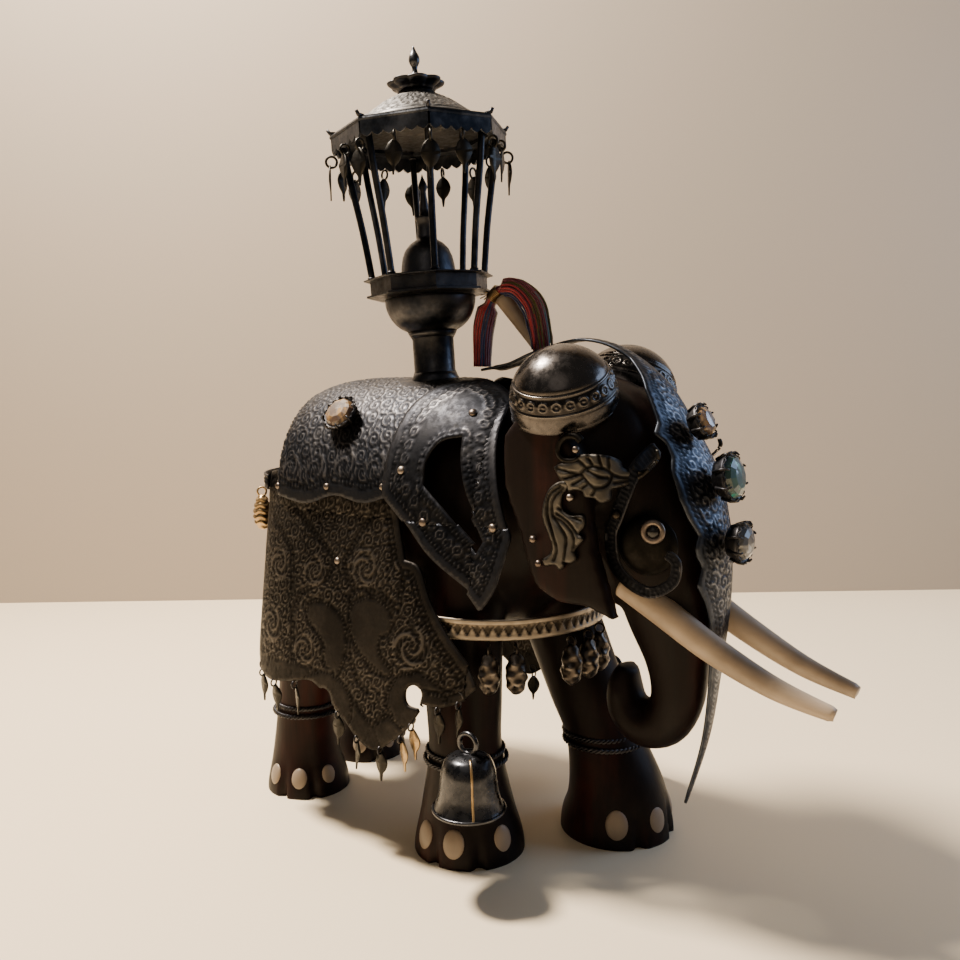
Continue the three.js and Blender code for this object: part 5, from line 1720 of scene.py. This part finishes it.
class ELEPHANT_OT_harness(bpy.types.Operator):
    """Hangs the chest band, the cast beads, the bells and the rear strap"""

    bl_idname = "elephant.harness"
    bl_label = "Harness"

    def execute(self, context):
        sizes = context.scene.elephant_sizes
        reach = 1.6 * BAND_BEND
        band = [(-reach, BAND_LOW + 0.25), (reach, BAND_LOW + 0.25), (reach, BAND_HIGH), (-reach, BAND_HIGH)]
        settle(
            chased_sheet([np.array(band)], chest_surface, chest_relief, sizes, 0.4), "chased_chest_band",
            finish("band_metal"), replaces=("chest_band",),
        )
        for i, degrees in enumerate(CHEST_BEAD_ANGLES):
            angle = math.radians(degrees)
            place = Vector(
                (
                    (BAND_WIDTH + 1.2) * math.sin(angle), BAND_Y - (BAND_DEPTH + 1.2) * math.cos(angle),
                    BAND_LOW - 0.85,
                )
            )
            name = "chest_bead_%d" % (i + 1)
            settle(
                hung(bead_shape(), place, angle), "cast_" + name, finish("bead_metal"), name + "_body",
                (name,),
            )
        half = REAR_HALF
        rear = [(-half, REAR_LOW), (half, REAR_LOW), (half, REAR_HIGH), (-half, REAR_HIGH)]

        def strap_relief(points):
            edge = np.minimum(points[:, 1] - REAR_LOW, REAR_HIGH - points[:, 1])
            return np.where(edge < 1.1, 0.75, rope(np.abs(edge - 2.2), points[:, 0], 0.9, 1.8))

        settle(
            chased_sheet([np.array(rear)], rear_surface, strap_relief, sizes, 0.5), "chased_rear_strap",
            finish("chased_metal"), replaces=("rear_strap",),
        )
        for side, sign in SIDES:
            place = Vector((sign * 23.6, float(rump_point(np.array(22.0))) + 2.6, REAR_LOW - 0.85))
            name = "rear_bead_" + side
            settle(
                hung(bead_shape(True), place, sign * 2.2), "cast_" + name, finish("gold_seam"),
                name + "_body", (name,),
            )

            hang = Matrix.Translation((sign * BELL_X, BELL_Y, BELL_MOUTH))
            outer = rounded(
                [(11.5, 0), (10.6, 1.6), (9.5, 5), (8.9, 9), (8.4, 13), (6.8, 16.4), (3.6, 17.8), (0, 18)], 6,
            )
            inner = rounded(
                [(0, 16.9), (3.4, 16.7), (6.0, 15.5), (7.4, 12.6), (7.9, 9), (8.5, 5), (9.7, 1.4), (10.4, 0)],
                5,
            )
            outer[-1][0] = inner[0][0] = 0
            parts = [turned(list(inner) + list(outer), 72)]
            parts.append(wire(circle_points(11.15, 72, "z", (0, 0, 0.5)), 0.55, 8, closed=True))
            parts.append(
                wire(
                    circle_points(BELL_LOOP, 28, "x", (0, 0, BELL_BODY + BELL_LOOP - 0.2)), 0.8, 10,
                    closed=True,
                )
            )
            settle(
                moved(together(parts), hang), "bell_shell_" + side, finish("bell_metal"),
                "bell_%s_body" % side, replaces=("bell_" + side,),
            )
            seam = []
            aim = Vector((sign * 0.72, -0.69, 0))
            for r, z in outer[2:-8]:
                seam.append(aim * (r + 0.02) + Vector((0, 0, z)))
            settle(
                moved(wire(seam, 0.42, 6), hang), "bell_seam_" + side, finish("gold_seam"),
                "bell_%s_body" % side,
            )
            clapper = [
                wire([(0, 0, 16), (0, 0, 11), (0, 0, 5)], 0.6, 8), ball((0, 0, 4), (2.4, 2.4, 2.4), 24),
            ]
            settle(
                moved(together(clapper), hang), "clapper_rod_" + side, finish("wire_metal"),
                "clapper_%s_body" % side, replaces=("clapper_" + side,),
            )
        return {"FINISHED"}


# ------------------------------------------------------------------ shrine
SHRINE_FOOT, SHRINE_LEAN = (0, 37.4, 160.6), -0.0615
SHRINE = Matrix.Translation(SHRINE_FOOT) @ Matrix.Rotation(SHRINE_LEAN, 4, "X")
EAVE_RADIUS, EAVE_Z, EAVE_DEPTH = 30.4, 84.0, 5.6
TRAY_TOP = 34.2
ROOF_FOOT = 84.95
ROOF_HEIGHT = 13.6
CASKET_FOOT = 29.65
LEAF_RING = 1.9


def shrine_piece(bm, name, material, replaces=(), flat=False):
    piece = settle(moved(bm, SHRINE), name, material, replaces=replaces)
    return flat_shaded(piece) if flat else piece


def valance():
    """Eight sheets with pointed scallops, hanging under the eave."""
    parts = []
    apothem = EAVE_RADIUS * math.cos(math.pi / 8)
    half = EAVE_RADIUS * math.sin(math.pi / 8)
    teeth = 6
    pitch = 2 * half / teeth
    low = []
    for i in range(teeth):
        for u, v in ((0, 0.22), (0.16, 0.08), (0.36, 0.0), (0.5, -0.04), (0.64, 0.0), (0.84, 0.08)):
            low.append((-half + (i + u) * pitch, EAVE_Z - EAVE_DEPTH * (1 - v)))
    low.append((half, EAVE_Z - EAVE_DEPTH * 0.78))
    outline = low + [(half, EAVE_Z), (-half, EAVE_Z)]
    for face in range(8):
        bm = bmesh.new()
        chain(bm, [(apothem, a, b) for a, b in outline], closed=True)
        bmesh.ops.triangle_fill(bm, use_beauty=True, use_dissolve=False, edges=bm.edges[:])
        bmesh.ops.solidify(bm, geom=bm.faces[:], thickness=0.8)
        bmesh.ops.recalc_face_normals(bm, faces=bm.faces)
        parts.append(moved(bm, Matrix.Rotation((face + 0.5) * math.pi / 4, 4, "Z")))
    return parts


class ELEPHANT_OT_shrine(bpy.types.Operator):
    """Builds the canopied relic shrine on the back"""

    bl_idname = "elephant.shrine"
    bl_label = "Shrine"

    def execute(self, context):
        dark = finish("shrine_metal")
        stem = [
            (6.3, 0), (6.3, 13.8), (7.5, 13.8), (7.55, 12.9), (7.4, 12.4), (7.4, 1.2), (7.6, 0.8), (7.6, 0),
            (6.3, 0),
        ]
        shrine_piece(turned(stem, 56), "shrine_stem", dark, ("pavilion_stem",))
        collar = [(5.9, -3.4), (8.6, -3.4), (8.9, -2.2), (8.1, -0.6), (7.7, 0.6), (5.9, 0.6), (5.9, -3.4)]
        throat = [(6.3, 13.0), (7.7, 13.0), (8.3, 14.0), (8.9, 15.3), (6.3, 15.3), (6.3, 13.0)]
        shrine_piece(together([turned(collar, 56), turned(throat, 56)]), "shrine_collar", dark)
        bowl = []
        for t in np.linspace(0, 1, 22):
            a = t * math.pi / 2
            bowl.append((16.3 * math.sin(a) ** 0.72 if t else 0, 14.15 + 13 * (1 - math.cos(a))))
        inner = [(max(0, r - 1.2), z + 1.0) for r, z in bowl[::-1]]
        inner[0] = (15.1, 27.15)
        inner[-1] = (0, 15.4)
        shrine_piece(turned(bowl + inner, 72), "shrine_bowl", dark, ("pavilion_bowl",))
        tray = [
            (0, 28), (22.6, 28), (22.6, 28.7), (21.0, 29.0), (21.1, 33.4), (23.1, 33.7), (23.3, 33.9),
            (23.3, 34.2), (19.7, 34.2), (19.5, 29.3), (0, 29.3),
        ]
        shrine_piece(turned(tray, 8), "shrine_tray", dark, ("pavilion_tray",), True)
        casket = [
            (0, 0), (10.9, 0), (10.9, 1.2), (10.2, 1.9), (10.0, 2.8), (9.9, 3.3), (9.8, 6), (9.5, 9),
            (8.9, 12), (7.8, 14.6), (6.0, 16.6), (4.2, 17.8), (3.3, 18.4), (3.1, 19.4), (2.9, 22),
            (3.0, 24.4), (3.6, 25.4), (3.6, 26), (2.0, 26.3), (1.7, 29), (1.2, 33), (1.0, 35), (1.7, 36.4),
            (1.4, 37.6), (0.5, 39.6), (0, 41.3),
        ]
        casket = [(r, CASKET_FOOT + z) for r, z in casket]
        shrine_piece(turned(casket, 40), "shrine_casket", dark, ("relic_casket",))

        frame_parts = valance()
        ring = [
            (EAVE_RADIUS + 1, EAVE_Z - 0.6), (EAVE_RADIUS + 1.2, EAVE_Z), (EAVE_RADIUS + 1, EAVE_Z + 0.6),
            (EAVE_RADIUS - 5.4, EAVE_Z + 0.6), (EAVE_RADIUS - 5.4, EAVE_Z - 0.6),
            (EAVE_RADIUS + 1, EAVE_Z - 0.6),
        ]
        frame_parts.append(turned(ring, 8))
        shrine_piece(together(frame_parts), "shrine_eave", finish("eave_metal"), ("canopy_frame",), True)
        columns = []
        foot, head = TRAY_TOP + 0.2, EAVE_Z - 0.4
        for i in range(8):
            a = i * math.pi / 4
            line = rounded(
                [
                    (20.2, foot), (22.4, foot + (head - foot) * 0.35), (25.8, foot + (head - foot) * 0.75),
                    (27.4, head),
                ],
                6,
            )
            columns.append(wire([around(r, a, z) for r, z in line], 1.2, 12))
            for r, z, size in ((20.3, foot + 0.5, 1.6), (27.3, head - 0.8, 1.6)):
                columns.append(ball(around(r, a, z), (size, size, 0.6), 16))
        shrine_piece(together(columns), "shrine_columns", dark)

        z = ROOF_FOOT
        flange = [
            (0, z), (EAVE_RADIUS - 0.6, z), (EAVE_RADIUS - 1, z + 0.7), (EAVE_RADIUS - 4, z + 1.5),
            (0, z + 2.4),
        ]
        roof_flange = turned(flange, 8)
        rise = rounded(
            [(22.8, z + 0.8), (21.6, z + 2.7), (18.6, z + 5.1), (13.4, z + 8.9), (9.4, z + 11.1)], 9,
        )
        neck = [(8.5, z + 11.5), (7.6, z + 12.1), (7.0, z + 13), (6.8, z + 13.5), (0, z + ROOF_HEIGHT)]
        dome_ = turned([(0, z + 0.8)] + list(rise) + neck, 200)
        chase = dome_.verts.layers.float.new("chase")
        rim = [v for v in dome_.verts if 9.4 < math.hypot(v.co.x, v.co.y) < 22.4 and v.co.z > z + 1]
        flat = np.array([(math.atan2(v.co.y, v.co.x) * 15, math.hypot(v.co.x, v.co.y)) for v in rim])
        height = scrollwork(flat, 1.5, 5.2)
        for vert in dome_.verts:
            vert[chase] = 0.6
        for vert, h, (_, r) in zip(rim, height, flat):
            h = float(h) if 10.4 < r < 21.2 else (0.9 if r > 21.7 or r < 9.9 else 0.05)
            vert[chase] = h
            vert.co.z += 0.55 * h
        shrine_piece(together([dome_, roof_flange]), "shrine_roof", finish("roof_metal"), ("canopy_roof",))
        knobs = []
        for i in range(8):
            a = i * math.pi / 4
            at, out = around(EAVE_RADIUS + 0.3, a, z + 0.2), around(1, a)
            line = [at - out * 1.5, at + out * 0.6, at + out * 1.5]
            line = [spot + Vector((0, 0, rise)) for spot, rise in zip(line, (0, 0.3, 1.5))]
            knobs.append(wire(line, 0.9, 8, taper=lambda t: 1 - 0.4 * t))
        shrine_piece(together(knobs), "shrine_knobs", dark)

        foot = z + ROOF_HEIGHT + 0.35
        profile = rounded(
            [
                (0, foot), (5.6, foot), (7.0, foot + 1.2), (9.2, foot + 2.4), (9.4, foot + 3.6),
                (6.4, foot + 3.2), (3, foot + 2.9), (0, foot + 2.9),
            ],
            4,
        )
        profile[0][0] = profile[-1][0] = 0
        flower = turned(profile, 128)
        for vert in flower.verts:
            r, a = math.hypot(vert.co.x, vert.co.y), math.atan2(vert.co.y, vert.co.x)
            lobe = 1 + 0.14 * float(smoothstep(r, 4.5, 9.2)) * (abs(math.cos(4 * a)) - 0.55)
            vert.co.x *= lobe
            vert.co.y *= lobe
        shrine_piece(flower, "shrine_flower", dark, ("crown_flower",))
        foot = z + ROOF_HEIGHT + 3.5
        finial = rounded(
            [
                (0, foot), (3.3, foot), (2.3, foot + 1.6), (1.1, foot + 3.8), (1.0, foot + 5.4),
                (1.9, foot + 7.4), (1.8, foot + 9.2), (0.9, foot + 11), (0.4, foot + 12.4), (0, foot + 13),
            ],
            5,
        )
        finial[0][0] = finial[-1][0] = 0
        shrine_piece(turned(finial, 32), "shrine_finial", finish("bell_metal"), ("roof_finial",))

        for i in range(8):
            a = i * math.pi / 4
            place = SHRINE @ around(EAVE_RADIUS + 1, a, EAVE_Z - EAVE_DEPTH - 0.8)
            parts = [
                leaf_shape(),
                wire(circle_points(LEAF_RING, 22, "y", (0, 0, -LEAF_RING)), 0.45, 7, closed=True),
            ]
            name = "canopy_leaf_%d" % (i + 1)
            settle(
                hung(together(parts), place, a), "bo_" + name, finish("leaf_metal"), name + "_body",
                replaces=(name,),
            )
        between = []
        for i in range(8):
            a = (i + 0.5) * math.pi / 4
            reach = EAVE_RADIUS * math.cos(math.pi / 8) + 1.0
            place = SHRINE @ around(reach, a, EAVE_Z - EAVE_DEPTH + 0.4)
            parts = [moved(leaf_shape(5.8, 10.6), Matrix.Rotation(0.08 * math.sin(3 * i), 4, "X"))]
            parts.append(wire(circle_points(1.7, 18, "y", (0, 0, -1.7)), 0.4, 6, closed=True))
            between.append(hung(together(parts), place, a + 0.25 * math.sin(2.1 * i)))
        settle(together(between), "eave_leaves", finish("leaf_metal"))
        return {"FINISHED"}


# ------------------------------------------------------------------ plume
PLUME_X = 12.0
PEG = [(PLUME_X, -15.8, 149, 1.3, 1.3), (PLUME_X, 0.2, 168.5, 2, 2), (PLUME_X, 15.4, 187, 3.2, 3.2)]
TASSEL = [
    (25, 163, 4.2, 2.8), (24, 177, 4.8, 3.4), (19.5, 187.5, 4.4, 3.4), (10.5, 190, 4.8, 3.6),
    (3, 184, 5.0, 4.2), (0, 174, 4.8, 3.8), (-1, 165, 4.6, 3.2),
]
KNOT = (PLUME_X, 18.5, 188.5)
THREAD_COUNT, THREAD_SEED = 84, 7
GOLDEN_TURN = 2.39996  # radians between one thread and the next, which spreads them evenly
THREAD_SHARES = ("red", "red", "maroon", "maroon", "teal", "navy", "olive", "white")


class ELEPHANT_OT_plume(bpy.types.Operator):
    """Stands the peg and lays the tassel of silk threads over it"""

    bl_idname = "elephant.plume"
    bl_label = "Plume"

    def execute(self, context):
        peg = limb(PEG, 20, 8)
        settle(peg, "turned_peg", finish("peg_bone"), replaces=("plume_peg",))
        rows = rounded(TASSEL, 6)
        chance = np.random.default_rng(THREAD_SEED)
        strands = {name: [] for name in THREADS}
        for i in range(THREAD_COUNT):
            turn, reach = i * GOLDEN_TURN, math.sqrt((i + 0.5) / THREAD_COUNT)
            drift = chance.normal(0, 0.06, (len(rows), 2)).cumsum(0)
            last = chance.uniform(0.86, 1.0)
            line = []
            for k, (y, z, across, deep) in enumerate(rows[: int(len(rows) * last)]):
                ahead = rows[min(k + 1, len(rows) - 1)][:2] - rows[max(k - 1, 0)][:2]
                ahead /= np.linalg.norm(ahead)
                squeeze = 0.45 if abs(z - KNOT[2]) < 4 and y > 15 else 0.92
                u = (math.cos(turn) * reach + drift[k, 0] * 0.3) * across * squeeze
                v = (math.sin(turn) * reach + drift[k, 1] * 0.3) * deep * squeeze
                line.append((PLUME_X + u, y - ahead[1] * v, z + ahead[0] * v))
            strands[THREAD_SHARES[i % len(THREAD_SHARES)]].append(wire(line, 0.42, 5))
        for name, wires in strands.items():
            if wires:
                replaced = ("silk_tassel",) if name == "red" else ()
                settle(
                    together(wires), "tassel_" + name, finish("silk_" + name),
                    replaces=replaced,
                )
        tie = []
        for k in range(7):
            tilt = Matrix.Rotation(0.9, 4, "X")
            turns = np.linspace(0, 2 * math.pi, 26, endpoint=False)
            loop = [Vector((2.6 * math.cos(t), 2.3 * math.sin(t), 0.62 * k - 1.8)) for t in turns]
            points = [tilt @ spot + Vector(KNOT) for spot in loop]
            tie.append(wire(points, 0.36, 5, closed=True))
        for k in range(8):
            a = 0.8 * k
            start = Vector(KNOT) + Vector((0, 2.2, 0))
            end = start + Vector((1.8 * math.cos(a), 3.4 + 0.6 * math.sin(2 * a), 1.6 * math.sin(a)))
            tie.append(wire([start, start.lerp(end, 0.5) + Vector((0, 0, 0.3)), end], 0.26, 4))
        settle(together(tie), "tassel_tie", finish("gold_seam"))
        return {"FINISHED"}


# ------------------------------------------------------------------ panel, registering and the order of work
STEPS = ("finishes", "stage", "carving", "dress", "head_dress", "harness", "shrine", "plume")


class ELEPHANT_PT_panel(bpy.types.Panel):
    """Lists the elephant's sizes, colours and steps"""

    bl_idname = "ELEPHANT_PT_panel"
    bl_label = "Dressed elephant"
    bl_space_type = "VIEW_3D"
    bl_region_type = "UI"
    bl_category = "Elephant"

    def draw(self, context):
        for group in (context.scene.elephant_sizes, context.scene.elephant_colours):
            for field in group.bl_rna.properties.keys()[2:]:
                self.layout.prop(group, field)
        for step in STEPS:
            self.layout.operator("elephant." + step)


CLASSES = (
    ElephantSizes,
    ElephantColours,
    ELEPHANT_OT_finishes,
    ELEPHANT_OT_stage,
    ELEPHANT_OT_carving,
    ELEPHANT_OT_dress,
    ELEPHANT_OT_head_dress,
    ELEPHANT_OT_harness,
    ELEPHANT_OT_shrine,
    ELEPHANT_OT_plume,
    ELEPHANT_PT_panel,
)


def register():
    for each in CLASSES:
        bpy.utils.register_class(each)
    bpy.types.Scene.elephant_sizes = bpy.props.PointerProperty(type=ElephantSizes)
    bpy.types.Scene.elephant_colours = bpy.props.PointerProperty(type=ElephantColours)


def unregister():
    del bpy.types.Scene.elephant_colours
    del bpy.types.Scene.elephant_sizes
    for each in reversed(CLASSES):
        bpy.utils.unregister_class(each)


def main():
    register()
    for step in STEPS:
        getattr(bpy.ops.elephant, step)()


if __name__ == "__main__":
    main()
